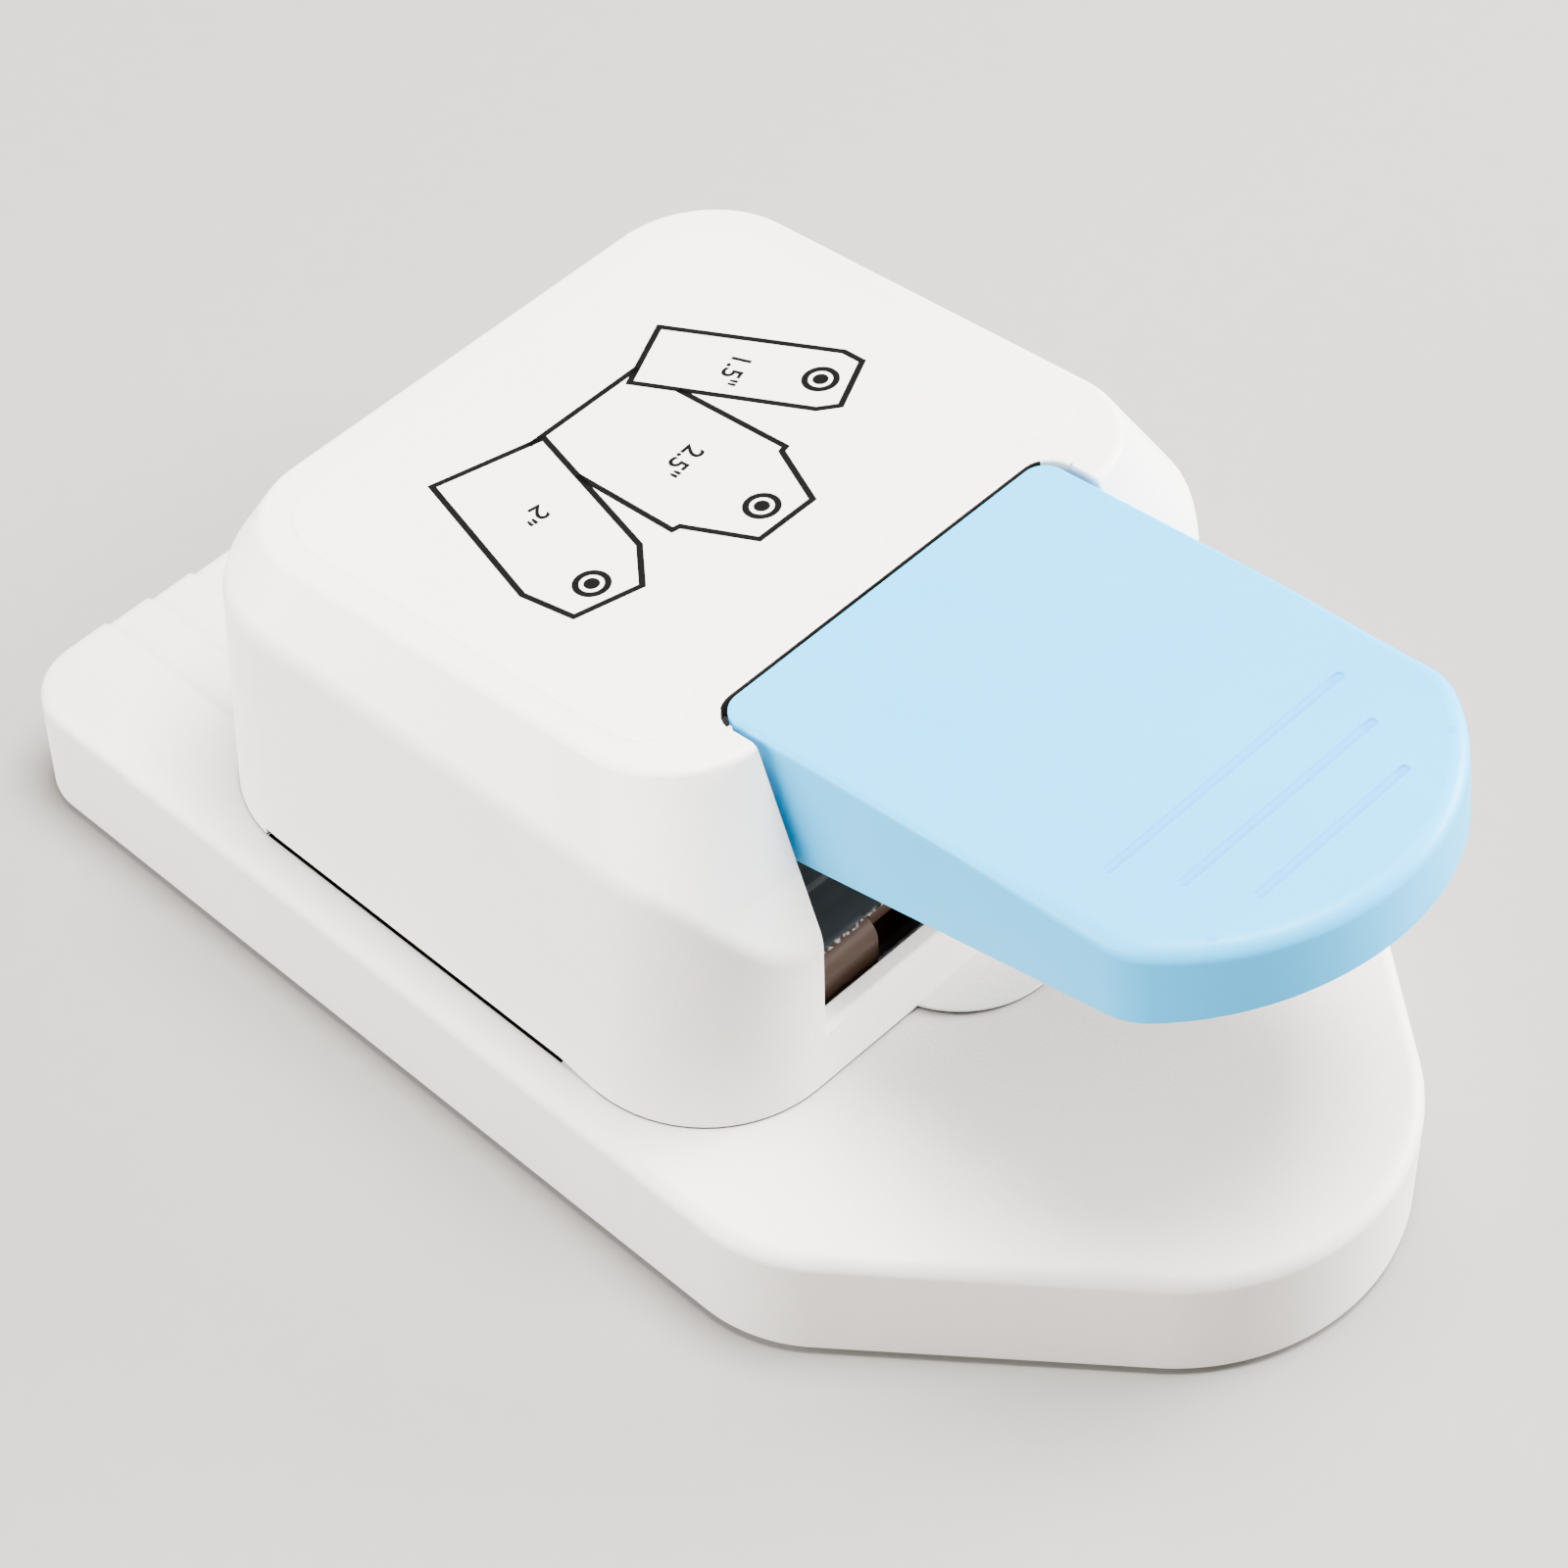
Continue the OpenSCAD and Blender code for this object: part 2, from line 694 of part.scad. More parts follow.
// one coil spring standing on z = 0, as a ring of points swept up a helix
module coil_spring(height) {
    sides = 6;
    per_turn = 16;
    steps = spring_turns * per_turn;
    rings = [for (i = [0:steps]) let (a = 360 * i / per_turn, z = height * i / steps)
        for (j = [0:sides - 1]) let (b = 360 * j / sides, r = spring_r + spring_wire * cos(b))
            [r * cos(a), r * sin(a), z + spring_wire * sin(b)]];
    walls = [for (i = [0:steps - 1]) for (j = [0:sides - 1]) let (k = (j + 1) % sides)
        [i * sides + j, i * sides + k, (i + 1) * sides + k, (i + 1) * sides + j]];
    polyhedron(rings, concat(walls, [[for (j = [sides - 1:-1:0]) j]],
        [[for (j = [0:sides - 1]) steps * sides + j]]));
}

module return_springs() {
    color("gainsboro") at(posts)
        translate([0, 0, frame_top + spring_wire + 0.05])
            coil_spring(press_under - frame_top - 2 * spring_wire - 0.1);
}

module chip_cover() {
    rear = hinge_y - 2.6;
    color("ivory") difference() {
        union() {
            translate([-door_half, door_front, door_bottom])
                cube([2 * door_half, rear - door_front, door_t]);
            // stiffening rim
            difference() {
                translate([-door_half + 1.5, door_front + 1.5, door_bottom])
                    cube([2 * door_half - 3, rear - door_front - 3, door_t + 1.4]);
                translate([-door_half + 2.7, door_front + 2.7, door_bottom])
                    cube([2 * door_half - 5.4, rear - door_front - 5.4, door_t + 3]);
            }
            each_side() for (x = [10, 27]) {
                translate([x, hinge_y, hinge_z]) rotate([0, 90, 0])
                    cylinder(r = knuckle_r, h = 7);
                translate([x, rear - 1, door_bottom]) cube([7, 4, door_t]);
            }
        }
        x_bar(hinge_y, hinge_z, hinge_r + fit_gap, 90);
        // finger scoop at the opening edge
        translate([0, door_front - 3, door_bottom + 0.7]) cylinder(r = 6, h = 3);
    }
}

module chip_hinge_pin() {
    color("gainsboro") x_bar(hinge_y, hinge_z, hinge_r, 2 * chamber_half + 3);
}

base_shell();
rubber_feet();
die_plate();
die_screws();
spacer_washers();
frame_plate();
punch_guide();
guide_posts();
pivot_bracket();
bracket_rivets();
pivot_pin();
pivot_clips();
upper_shell();
top_label();
case_screws();
lever_cover();
lever_arm();
lever_screws();
press_shoe();
shoe_pin();
press_plate();
corner_cutter_left();
corner_cutter_right();
hole_cutter();
cutter_screws();
post_bushes();
return_springs();
chip_cover();
chip_hinge_pin();
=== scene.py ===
import math

import bmesh
import bpy
from mathutils import Matrix, Vector


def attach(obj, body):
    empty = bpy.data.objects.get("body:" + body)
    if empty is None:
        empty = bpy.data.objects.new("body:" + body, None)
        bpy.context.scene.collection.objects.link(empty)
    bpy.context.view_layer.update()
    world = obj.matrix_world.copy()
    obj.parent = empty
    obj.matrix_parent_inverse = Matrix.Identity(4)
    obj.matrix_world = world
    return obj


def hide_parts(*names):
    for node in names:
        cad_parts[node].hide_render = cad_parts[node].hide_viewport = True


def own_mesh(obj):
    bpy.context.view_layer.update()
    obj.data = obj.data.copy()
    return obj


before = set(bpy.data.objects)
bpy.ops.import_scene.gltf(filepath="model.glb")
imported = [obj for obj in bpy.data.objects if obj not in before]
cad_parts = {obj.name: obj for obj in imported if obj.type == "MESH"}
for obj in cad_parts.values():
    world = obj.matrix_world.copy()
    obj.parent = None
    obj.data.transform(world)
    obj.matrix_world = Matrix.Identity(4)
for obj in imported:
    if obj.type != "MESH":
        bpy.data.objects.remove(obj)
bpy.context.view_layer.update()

print("frame loaded:", len(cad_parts), "nodes")

mm = 0.001
scene = bpy.context.scene


def arc(cx, cy, r, start, end, steps):
    angles = [math.radians(start + (end - start) * i / steps) for i in range(steps + 1)]
    return [(cx + r * math.cos(a), cy + r * math.sin(a)) for a in angles]


def mirrored(right):
    # whole outline from its right half
    return right + [(-x, y) for x, y in reversed(right) if x > 1e-6]


def addObject(name, mesh):
    piece = bpy.data.objects.new(name, mesh)
    scene.collection.objects.link(piece)
    return piece


def fromLists(name, verts, faces):
    # verts in millimetres
    mesh = bpy.data.meshes.new(name)
    mesh.from_pydata([(x * mm, y * mm, z * mm) for x, y, z in verts], [], faces)
    bm = bmesh.new()
    bm.from_mesh(mesh)
    bmesh.ops.remove_doubles(bm, verts=bm.verts, dist=1e-7)
    bmesh.ops.recalc_face_normals(bm, faces=bm.faces)
    bm.to_mesh(mesh)
    bm.free()
    return addObject(name, mesh)


def loft(name, rings):
    # closed body through rings that all have the same number of points
    count = len(rings[0])
    verts = [p for ring in rings for p in ring]
    faces = [list(range(count))[::-1], [len(verts) - count + i for i in range(count)]]
    for k in range(len(rings) - 1):
        for i in range(count):
            j = (i + 1) % count
            faces.append([k * count + i, k * count + j, (k + 1) * count + j, (k + 1) * count + i])
    return fromLists(name, verts, faces)


def prism(name, points, z0, z1):
    return loft(name, [[(x, y, z) for x, y in points] for z in (z0, z1)])


def block(name, low, high):
    (x0, y0, z0), (x1, y1, z1) = low, high
    return prism(name, [(x0, y0), (x1, y0), (x1, y1), (x0, y1)], z0, z1)


def circle(x, y, r, sides=48):
    return arc(x, y, r, 0, 360 - 360 / sides, sides - 1)


def post(name, x, y, r, z0, z1):
    return prism(name, circle(x, y, r), z0, z1)


def plainMesh(piece):
    # bakes the modifiers into the mesh
    graph = bpy.context.evaluated_depsgraph_get()
    mesh = bpy.data.meshes.new_from_object(piece.evaluated_get(graph), depsgraph=graph)
    piece.modifiers.clear()
    piece.data = mesh
    return piece


def combine(target, tools, operation):
    # boolean with each tool, which is then thrown away
    for tool in tools:
        mod = target.modifiers.new("cut", "BOOLEAN")
        mod.object = tool
        mod.operation = operation
        mod.solver = "EXACT"
        plainMesh(target)
        bpy.data.objects.remove(tool)
    return target


def smoothHard(piece, angle=30):
    # smooth shading with crisp creases and flat large faces
    for face in piece.data.polygons:
        face.use_smooth = True
    piece.data.set_sharp_from_angle(angle=math.radians(angle))
    mod = piece.modifiers.new("weighted", "WEIGHTED_NORMAL")
    mod.keep_sharp = True
    return plainMesh(piece)


def setMaterial(piece, material):
    piece.data.materials.clear()
    piece.data.materials.append(material)


def paintFaces(piece, material, test):
    # gives a second finish to the faces whose middle (in millimetres) and normal pass the test
    piece.data.materials.append(material)
    index = len(piece.data.materials) - 1
    for face in piece.data.polygons:
        if test(face.center / mm, face.normal):
            face.material_index = index


def joinPieces(name, parts):
    # one object from several, all at the origin
    bm = bmesh.new()
    for part in parts:
        bm.from_mesh(part.data)
        bpy.data.objects.remove(part)
    mesh = bpy.data.meshes.new(name)
    bm.to_mesh(mesh)
    bm.free()
    return addObject(name, mesh)


def socketGroup(name, inputs, outputs):
    tree = bpy.data.node_groups.new(name, "ShaderNodeTree")
    for label, kind, value in inputs:
        item = tree.interface.new_socket(name=label, in_out="INPUT", socket_type=kind)
        if value is not None:
            item.default_value = value
    for label, kind in outputs:
        tree.interface.new_socket(name=label, in_out="OUTPUT", socket_type=kind)
    return tree, tree.nodes.new("NodeGroupInput"), tree.nodes.new("NodeGroupOutput")


def addNode(tree, kind, settings=None, **values):
    node = tree.nodes.new(kind)
    for key, value in (settings or {}).items():
        setattr(node, key, value)
    for key, value in values.items():
        node.inputs[key.replace("_", " ")].default_value = value
    return node


def mathNode(tree, operation, first, second=0.0):
    node = tree.nodes.new("ShaderNodeMath")
    node.operation = operation
    for slot, value in enumerate((first, second)):
        if isinstance(value, (int, float)):
            node.inputs[slot].default_value = value
        else:
            tree.links.new(value, node.inputs[slot])
    return node.outputs[0]


def mapRange(tree, value, fromLow, fromHigh, toLow, toHigh):
    node = addNode(tree, "ShaderNodeMapRange")
    tree.links.new(value, node.inputs["Value"])
    limits = {"From Min": fromLow, "From Max": fromHigh, "To Min": toLow, "To Max": toHigh}
    for name, number in limits.items():
        node.inputs[name].default_value = number
    return node.outputs["Result"]


def mixColour(tree, factor, first, second):
    node = tree.nodes.new("ShaderNodeMix")
    node.data_type = "RGBA"
    for socket, value in ((node.inputs[0], factor), (node.inputs[6], first), (node.inputs[7], second)):
        if isinstance(value, bpy.types.NodeSocket):
            tree.links.new(value, socket)
        else:
            socket.default_value = value
    return node.outputs[2]


def noiseNode(tree, vector, scale, detail=2.0, roughness=0.5):
    node = addNode(tree, "ShaderNodeTexNoise", Scale=scale, Detail=detail, Roughness=roughness)
    tree.links.new(vector, node.inputs["Vector"])
    return node.outputs["Fac"]


# fine moulded texture: a height for the bump, a cloudy mask and a speck mask
mouldedGrain, groupIn, groupOut = socketGroup(
    "mouldedGrain",
    [("Vector", "NodeSocketVector", None), ("Grain Scale", "NodeSocketFloat", 2200.0),
     ("Cloud Scale", "NodeSocketFloat", 45.0), ("Speck Scale", "NodeSocketFloat", 260.0)],
    [("Height", "NodeSocketFloat"), ("Cloud", "NodeSocketFloat"), ("Specks", "NodeSocketFloat")])


def groupNoise(tree, source, scaleName, detail, roughness):
    node = addNode(tree, "ShaderNodeTexNoise", Detail=detail, Roughness=roughness)
    tree.links.new(source.outputs["Vector"], node.inputs["Vector"])
    tree.links.new(source.outputs[scaleName], node.inputs["Scale"])
    return node.outputs["Fac"]


fineNoise = groupNoise(mouldedGrain, groupIn, "Grain Scale", 2.5, 0.6)
mouldedGrain.links.new(mapRange(mouldedGrain, fineNoise, 0.3, 0.7, 0.0, 1.0), groupOut.inputs["Height"])
cloudNoise = groupNoise(mouldedGrain, groupIn, "Cloud Scale", 4.0, 0.55)
mouldedGrain.links.new(mapRange(mouldedGrain, cloudNoise, 0.35, 0.65, 0.0, 1.0), groupOut.inputs["Cloud"])
speckCells = addNode(mouldedGrain, "ShaderNodeTexVoronoi")
mouldedGrain.links.new(groupIn.outputs["Vector"], speckCells.inputs["Vector"])
mouldedGrain.links.new(groupIn.outputs["Speck Scale"], speckCells.inputs["Scale"])
nearCentre = mapRange(mouldedGrain, speckCells.outputs["Distance"], 0.0, 0.05, 1.0, 0.0)
speckPick = mathNode(mouldedGrain, "GREATER_THAN", speckCells.outputs["Color"], 0.93)
mouldedGrain.links.new(mathNode(mouldedGrain, "MULTIPLY", nearCentre, speckPick), groupOut.inputs["Specks"])

# drawn lines and scratches for sheet metal
metalMarks, groupIn, groupOut = socketGroup(
    "metalMarks",
    [("Vector", "NodeSocketVector", None), ("Line Scale", "NodeSocketFloat", 900.0),
     ("Scratch Scale", "NodeSocketFloat", 120.0)],
    [("Lines", "NodeSocketFloat"), ("Scratches", "NodeSocketFloat"), ("Stain", "NodeSocketFloat")])
stretched = addNode(metalMarks, "ShaderNodeMapping", Scale=(0.03, 1.0, 1.0))
metalMarks.links.new(groupIn.outputs["Vector"], stretched.inputs["Vector"])
lineNoise = addNode(metalMarks, "ShaderNodeTexNoise", Detail=3.0)
metalMarks.links.new(stretched.outputs["Vector"], lineNoise.inputs["Vector"])
metalMarks.links.new(groupIn.outputs["Line Scale"], lineNoise.inputs["Scale"])
metalMarks.links.new(lineNoise.outputs["Fac"], groupOut.inputs["Lines"])
turned = addNode(metalMarks, "ShaderNodeMapping", Rotation=(0.3, 0.2, 0.9), Scale=(0.06, 1.0, 1.0))
metalMarks.links.new(groupIn.outputs["Vector"], turned.inputs["Vector"])
scratchNoise = addNode(metalMarks, "ShaderNodeTexNoise", Detail=4.0, Roughness=0.65)
metalMarks.links.new(turned.outputs["Vector"], scratchNoise.inputs["Vector"])
metalMarks.links.new(groupIn.outputs["Scratch Scale"], scratchNoise.inputs["Scale"])
metalMarks.links.new(mapRange(metalMarks, scratchNoise.outputs["Fac"], 0.62, 0.68, 0.0, 1.0),
                     groupOut.inputs["Scratches"])
stainNoise = noiseNode(metalMarks, groupIn.outputs["Vector"], 70.0, 3.0)
metalMarks.links.new(mapRange(metalMarks, stainNoise, 0.35, 0.7, 0.0, 1.0), groupOut.inputs["Stain"])


def newMaterial(name, **fixed):
    material = bpy.data.materials.new(name)
    material.use_nodes = True
    tree = material.node_tree
    shader = tree.nodes["Principled BSDF"]
    for key, value in fixed.items():
        shader.inputs[key.replace("_", " ")].default_value = value
    coords = tree.nodes.new("ShaderNodeTexCoord").outputs["Object"]
    return material, tree, shader, coords


def useGroup(tree, group, coords, **values):
    node = tree.nodes.new("ShaderNodeGroup")
    node.node_tree = group
    tree.links.new(coords, node.inputs["Vector"])
    for key, value in values.items():
        node.inputs[key.replace("_", " ")].default_value = value
    return node


def bumpNormal(tree, height, strength, distance):
    bump = addNode(tree, "ShaderNodeBump", Strength=strength, Distance=distance)
    tree.links.new(height, bump.inputs["Height"])
    return bump.outputs["Normal"]


def feed(tree, shader, colour, roughness, normal):
    for name, source in (("Base Color", colour), ("Roughness", roughness), ("Normal", normal)):
        tree.links.new(source, shader.inputs[name])


def heightMask(tree, coords, low, high, axis="Z"):
    # 1 below low, 0 above high, along one axis in metres
    parts = tree.nodes.new("ShaderNodeSeparateXYZ")
    tree.links.new(coords, parts.inputs[0])
    return mapRange(tree, parts.outputs[axis], low, high, 1.0, 0.0)


# depths of the finest surface marks in metres
grainDepth, lineDepth, inkDepth = 0.00004, 0.00003, 0.00002


def mouldedPlastic(name, tones, rough, bump, grainScale=2200.0, speck=(0.35, 0.33, 0.31, 1.0),
                   subsurface=0.0, specular=0.4, seamShade=None):
    # seamShade: (low, high, colour) of a painted shade line where the piece meets its neighbour
    material, tree, shader, coords = newMaterial(
        name, Subsurface_Weight=subsurface, Subsurface_Scale=0.002, Specular_IOR_Level=specular)
    grain = useGroup(tree, mouldedGrain, coords, Grain_Scale=grainScale)
    cloudy = mixColour(tree, grain.outputs["Cloud"], tones[0], tones[1])
    speckled = mixColour(tree, mathNode(tree, "MULTIPLY", grain.outputs["Specks"], 0.35), cloudy, speck)
    if seamShade:
        low, high, seamShadeColour = seamShade
        # painted shade: the colour darkens below the seam line
        speckled = mixColour(tree, heightMask(tree, coords, low, high), speckled, seamShadeColour)
    feed(tree, shader, speckled, mapRange(tree, grain.outputs["Height"], 0.0, 1.0, *rough),
         bumpNormal(tree, grain.outputs["Height"], bump, grainDepth))
    return material


def sheetMetal(name, dark, light, rough, lineBump=0.12, lineScale=900.0, tint=None):
    material, tree, shader, coords = newMaterial(name, Metallic=1.0)
    marks = useGroup(tree, metalMarks, coords, Line_Scale=lineScale)
    base = mixColour(tree, marks.outputs["Lines"], dark, light)
    if tint:
        base = mixColour(tree, mathNode(tree, "MULTIPLY", marks.outputs["Stain"], 0.6), base, tint)
    scratched = mixColour(tree, mathNode(tree, "MULTIPLY", marks.outputs["Scratches"], 0.5), base,
                          (0.75, 0.76, 0.78, 1.0))
    feed(tree, shader, scratched, mapRange(tree, marks.outputs["Stain"], 0.0, 1.0, *rough),
         bumpNormal(tree, marks.outputs["Lines"], lineBump, lineDepth))
    return material


# the casing's foot darkens at the seam over the base: painted shade
casePlastic = mouldedPlastic(
    "casePlastic", ((0.87, 0.835, 0.80, 1), (0.90, 0.865, 0.835, 1)), (0.4, 0.56), 0.35, 1900.0,
    subsurface=0.08, seamShade=(0.01640, 0.01652, (0.02, 0.011, 0.007, 1)))
basePlastic = mouldedPlastic(
    "basePlastic", ((0.74, 0.705, 0.67, 1), (0.77, 0.735, 0.70, 1)), (0.42, 0.55), 0.25, 2300.0,
    subsurface=0.08)
leverPlastic = mouldedPlastic(
    "leverPlastic", ((0.004, 0.45, 0.88, 1), (0.008, 0.47, 0.90, 1)), (0.34, 0.46), 0.18, 2600.0,
    speck=(0.1, 0.35, 0.5, 1), subsurface=0.1, specular=0.22)
# a darker blue on the groove faces: painted shade in the grooves
leverGrooveShade = mouldedPlastic(
    "leverGrooveShade", ((0.012, 0.36, 0.84, 1), (0.018, 0.38, 0.86, 1)), (0.4, 0.5), 0.18, 2600.0, specular=0.15)
gapShade = mouldedPlastic(
    "gapShade", ((0.010, 0.007, 0.005, 1), (0.022, 0.015, 0.011, 1)), (0.7, 0.85), 0.3, specular=0.05)
labelFilm = mouldedPlastic(
    "labelFilm", ((0.90, 0.87, 0.845, 1), (0.92, 0.89, 0.865, 1)), (0.36, 0.42), 0.06, 1200.0)
nylon = mouldedPlastic(
    "nylon", ((0.68, 0.66, 0.58, 1), (0.76, 0.74, 0.66, 1)), (0.35, 0.5), 0.1, subsurface=0.2)
rubber = mouldedPlastic(
    "rubber", ((0.02, 0.02, 0.022, 1), (0.045, 0.045, 0.047, 1)), (0.7, 0.88), 0.5,
    speck=(0.25, 0.25, 0.25, 1), specular=0.3)
steel = sheetMetal(
    "steel", (0.24, 0.25, 0.27, 1), (0.38, 0.40, 0.43, 1), (0.28, 0.5), tint=(0.10, 0.105, 0.12, 1))
toolSteel = sheetMetal(
    "toolSteel", (0.42, 0.43, 0.45, 1), (0.6, 0.61, 0.63, 1), (0.2, 0.34), 0.08, 1500.0)
zincPlate = sheetMetal(
    "zincPlate", (0.5, 0.51, 0.53, 1), (0.66, 0.67, 0.69, 1), (0.25, 0.42), 0.05, 600.0,
    (0.46, 0.45, 0.40, 1))
# dark brown metal for the frame plate and punch guide: painted shade and brown reflection of the dim inside
depthShadeSteel = sheetMetal(
    "depthShadeSteel", (0.05, 0.026, 0.016, 1), (0.11, 0.055, 0.032, 1), (0.3, 0.55), 0.1, 700.0,
    (0.015, 0.01, 0.008, 1))
springSteel = sheetMetal(
    "springSteel", (0.45, 0.46, 0.48, 1), (0.66, 0.67, 0.70, 1), (0.18, 0.3), 0.05, 800.0)


def makeInk():
    material, tree, shader, coords = newMaterial("printInk", Specular_IOR_Level=0.05)
    grain = noiseNode(tree, coords, 3000.0, 3.0)
    tone = mixColour(tree, grain, (0.0015, 0.0014, 0.0014, 1), (0.0045, 0.004, 0.004, 1))
    feed(tree, shader, tone, mapRange(tree, grain, 0.3, 0.7, 0.55, 0.75),
         bumpNormal(tree, grain, 0.1, inkDepth))
    return material


# low and high limits in metres: painted shade low down by height, front face with painted shade and brown
# reflection along y, sheared line by height
pressMarks = {"lowShadePainted": (0.0242, 0.0272), "front": (-0.02195, -0.02165), "upper": (0.0292, 0.0293)}


def makePressSteel():
    # dark sheet with painted shade low on the bent tabs, painted shade and brown reflection on its front
    # face, and a bright broken line on its front edge
    material, tree, shader, coords = newMaterial("pressSteel", Metallic=0.55)
    marks = useGroup(tree, metalMarks, coords, Line_Scale=700.0, Scratch_Scale=160.0)
    sheet = mixColour(tree, marks.outputs["Lines"], (0.028, 0.034, 0.039, 1), (0.05, 0.06, 0.067, 1))
    scratched = mixColour(tree, mathNode(tree, "MULTIPLY", marks.outputs["Scratches"], 0.6), sheet,
                          (0.2, 0.22, 0.24, 1))
    # painted shade: darker and browner low down
    lowShadeMask = heightMask(tree, coords, *pressMarks["lowShadePainted"])
    lowShadePainted = mixColour(tree, lowShadeMask, scratched, (0.03, 0.017, 0.011, 1))
    front = heightMask(tree, coords, *pressMarks["front"], "Y")
    upper = mapRange(tree, heightMask(tree, coords, *pressMarks["upper"]), 0.0, 1.0, 1.0, 0.0)
    broken = mapRange(tree, noiseNode(tree, coords, 1500.0, 2.0), 0.5, 0.6, 0.0, 1.0)
    sheared = mathNode(tree, "MULTIPLY", mathNode(tree, "MULTIPLY", front, upper), broken)
    # painted shade and brown reflection on the front face
    frontShadePainted = mixColour(tree, front, lowShadePainted, (0.035, 0.018, 0.01, 1))
    feed(tree, shader, mixColour(tree, sheared, frontShadePainted, (0.45, 0.43, 0.41, 1)),
         mapRange(tree, marks.outputs["Stain"], 0.0, 1.0, 0.3, 0.48),
         bumpNormal(tree, marks.outputs["Lines"], 0.15, lineDepth))
    return material


printInk = makeInk()
pressSteel = makePressSteel()
print("materials made")


base = {"halfWidth": 47.2, "bottom": 1.0, "top": 16.15, "fillet": 1.8, "noseRadius": 26.6, "noseY": -52.3,
        "shoulderRadius": 18.0, "shoulderY": -30.2, "rearRadius": 8.0, "rearY": 78.9, "wall": 2.4,
        "guides": 3, "guideHalf": 33.75, "guideStep": 6.35, "guideDrop": 0.7, "guideFront": 20.5,
        "footEdge": 0.5, "hollowTop": 11.85, "bossRadius": 4, "padRadius": 7.4, "screwHole": 3.1,
        "footHole": 6.1, "ribHalf": 0.8, "ribBottom": 5}
# die plate seat and the pockets below the side slots: low corner, high corner
seats = [((-38.3, -17.1, 12.05), (38.3, 21.6, 30)),
         ((38.5, -4.8, 13.65), (42.5, 40.9, 30)), ((-42.5, -4.8, 13.65), (-38.5, 40.9, 30))]
# left solid inside the hollow underside: chip chamber with its four walls
chamberBlocks = [((-41.2, -20, 9.85), (41.2, 24.5, 20)), ((-38, 24, 9.86), (38, 29.5, 20)),
                 ((-38, -18, -3), (38, -16, 20)), ((-38, 27.5, -3), (38, 29.5, 20)),
                 ((-38, -17, -3), (-36, 28.5, 20)), ((36, -17, -3), (38, 28.5, 20))]
chipHole = ((-34.2, -15.2, 5), (34.2, 17.2, 20))
casePosts = [(-35.5, 45), (35.5, 45), (-31, -20.5), (31, -20.5)]
footSpots = [(-37, 68), (37, 68), (-31, -39), (31, -39)]


def baseOutline(inset):
    shoulderX = base["halfWidth"] - base["shoulderRadius"]
    run, rise = shoulderX, base["shoulderY"] - base["noseY"]
    tangent = math.degrees(math.atan2(rise, run)
                           - math.acos((base["noseRadius"] - base["shoulderRadius"]) / math.hypot(run, rise)))
    rearX = base["halfWidth"] - base["rearRadius"]
    return mirrored(arc(0, base["noseY"], base["noseRadius"] - inset, -90, tangent, 24)
                    + arc(shoulderX, base["shoulderY"], base["shoulderRadius"] - inset, tangent, 0, 16)
                    + arc(rearX, base["rearY"] - base["rearRadius"], base["rearRadius"] - inset, 0, 90, 16))


def level(points, z):
    return [(x, y, z) for x, y in points]


def filletRings(outline, z, r, steps=8):
    # rings over a rounded upper edge whose outline shrinks by the fillet
    turns = [math.radians(90 * i / steps) for i in range(steps + 1)]
    return [level(outline(r - r * math.cos(t)), z - r + r * math.sin(t)) for t in turns]


def guideCut(step):
    # one step of the paper channel, with the same rounded rear edge as the deck
    z = base["top"] - (step + 1) * base["guideDrop"]
    half = base["guideHalf"] - step * base["guideStep"]
    r, front, back, high = base["fillet"], base["guideFront"], base["rearY"] + 5.1, 30
    curve = arc(base["rearY"] - r + 0.02, z - r, r, 90, 0, 8)
    side = [(front, z)] + curve + [(back, z - r - 0.1), (back, high), (front, high)]
    count = len(side)
    walls = [[k, (k + 1) % count, count + (k + 1) % count, count + k] for k in range(count)]
    return fromLists("channel", [(x, y, h) for x in (-half, half) for y, h in side],
                     [list(range(count))[::-1], [count + k for k in range(count)]] + walls)


def makeHollow():
    hollow = prism("hollow", baseOutline(base["wall"]), -2, base["hollowTop"])
    solids = [block("chamber", low, high) for low, high in chamberBlocks]
    solids += [post("boss", x, y, base["bossRadius"], -3, 20) for x, y in casePosts]
    solids += [post("pad", x, y, base["padRadius"], -3, 20) for x, y in footSpots]
    half, low = base["ribHalf"], base["ribBottom"]
    solids += [block("rib", (x - half, -76.9, low), (x + half, -17, 20)) for x in (-18, 0, 18)]
    solids += [block("rib", (-45.2, y, low), (45.2, y + 2 * half, 20)) for y in (-45, 56)]
    return combine(hollow, solids, "DIFFERENCE")


def inPocket(at, normal):
    return 38.3 < abs(at.x) < 42.6 and -5 < at.y < 41 and 13.5 < at.z < 16.1


def makeBase():
    foot = base["footEdge"]
    rings = [level(baseOutline(foot * (1 - math.sin(t))), base["bottom"] + foot * (1 - math.cos(t)))
             for t in (0, 0.4, 0.8, 1.2, math.pi / 2)]
    body = loft("baseBody", rings + filletRings(baseOutline, base["top"], base["fillet"]))
    tools = [guideCut(step) for step in range(base["guides"])]
    tools += [block("seat", low, high) for low, high in seats]
    tools += [makeHollow(), block("chipHole", *chipHole)]
    tools += [post("screwWell", x, y, base["screwHole"], -3, 5) for x, y in casePosts]
    tools += [post("footWell", x, y, base["footHole"], -3, 2.4) for x, y in footSpots]
    body = combine(body, tools, "DIFFERENCE")
    body.name = "baseMoulding"
    setMaterial(body, basePlastic)
    # the pockets below the side slots get painted shade
    paintFaces(body, gapShade, inPocket)
    return smoothHard(body)


baseMoulding = makeBase()
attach(baseMoulding, "base")
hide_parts("base_shell")
print("base made")


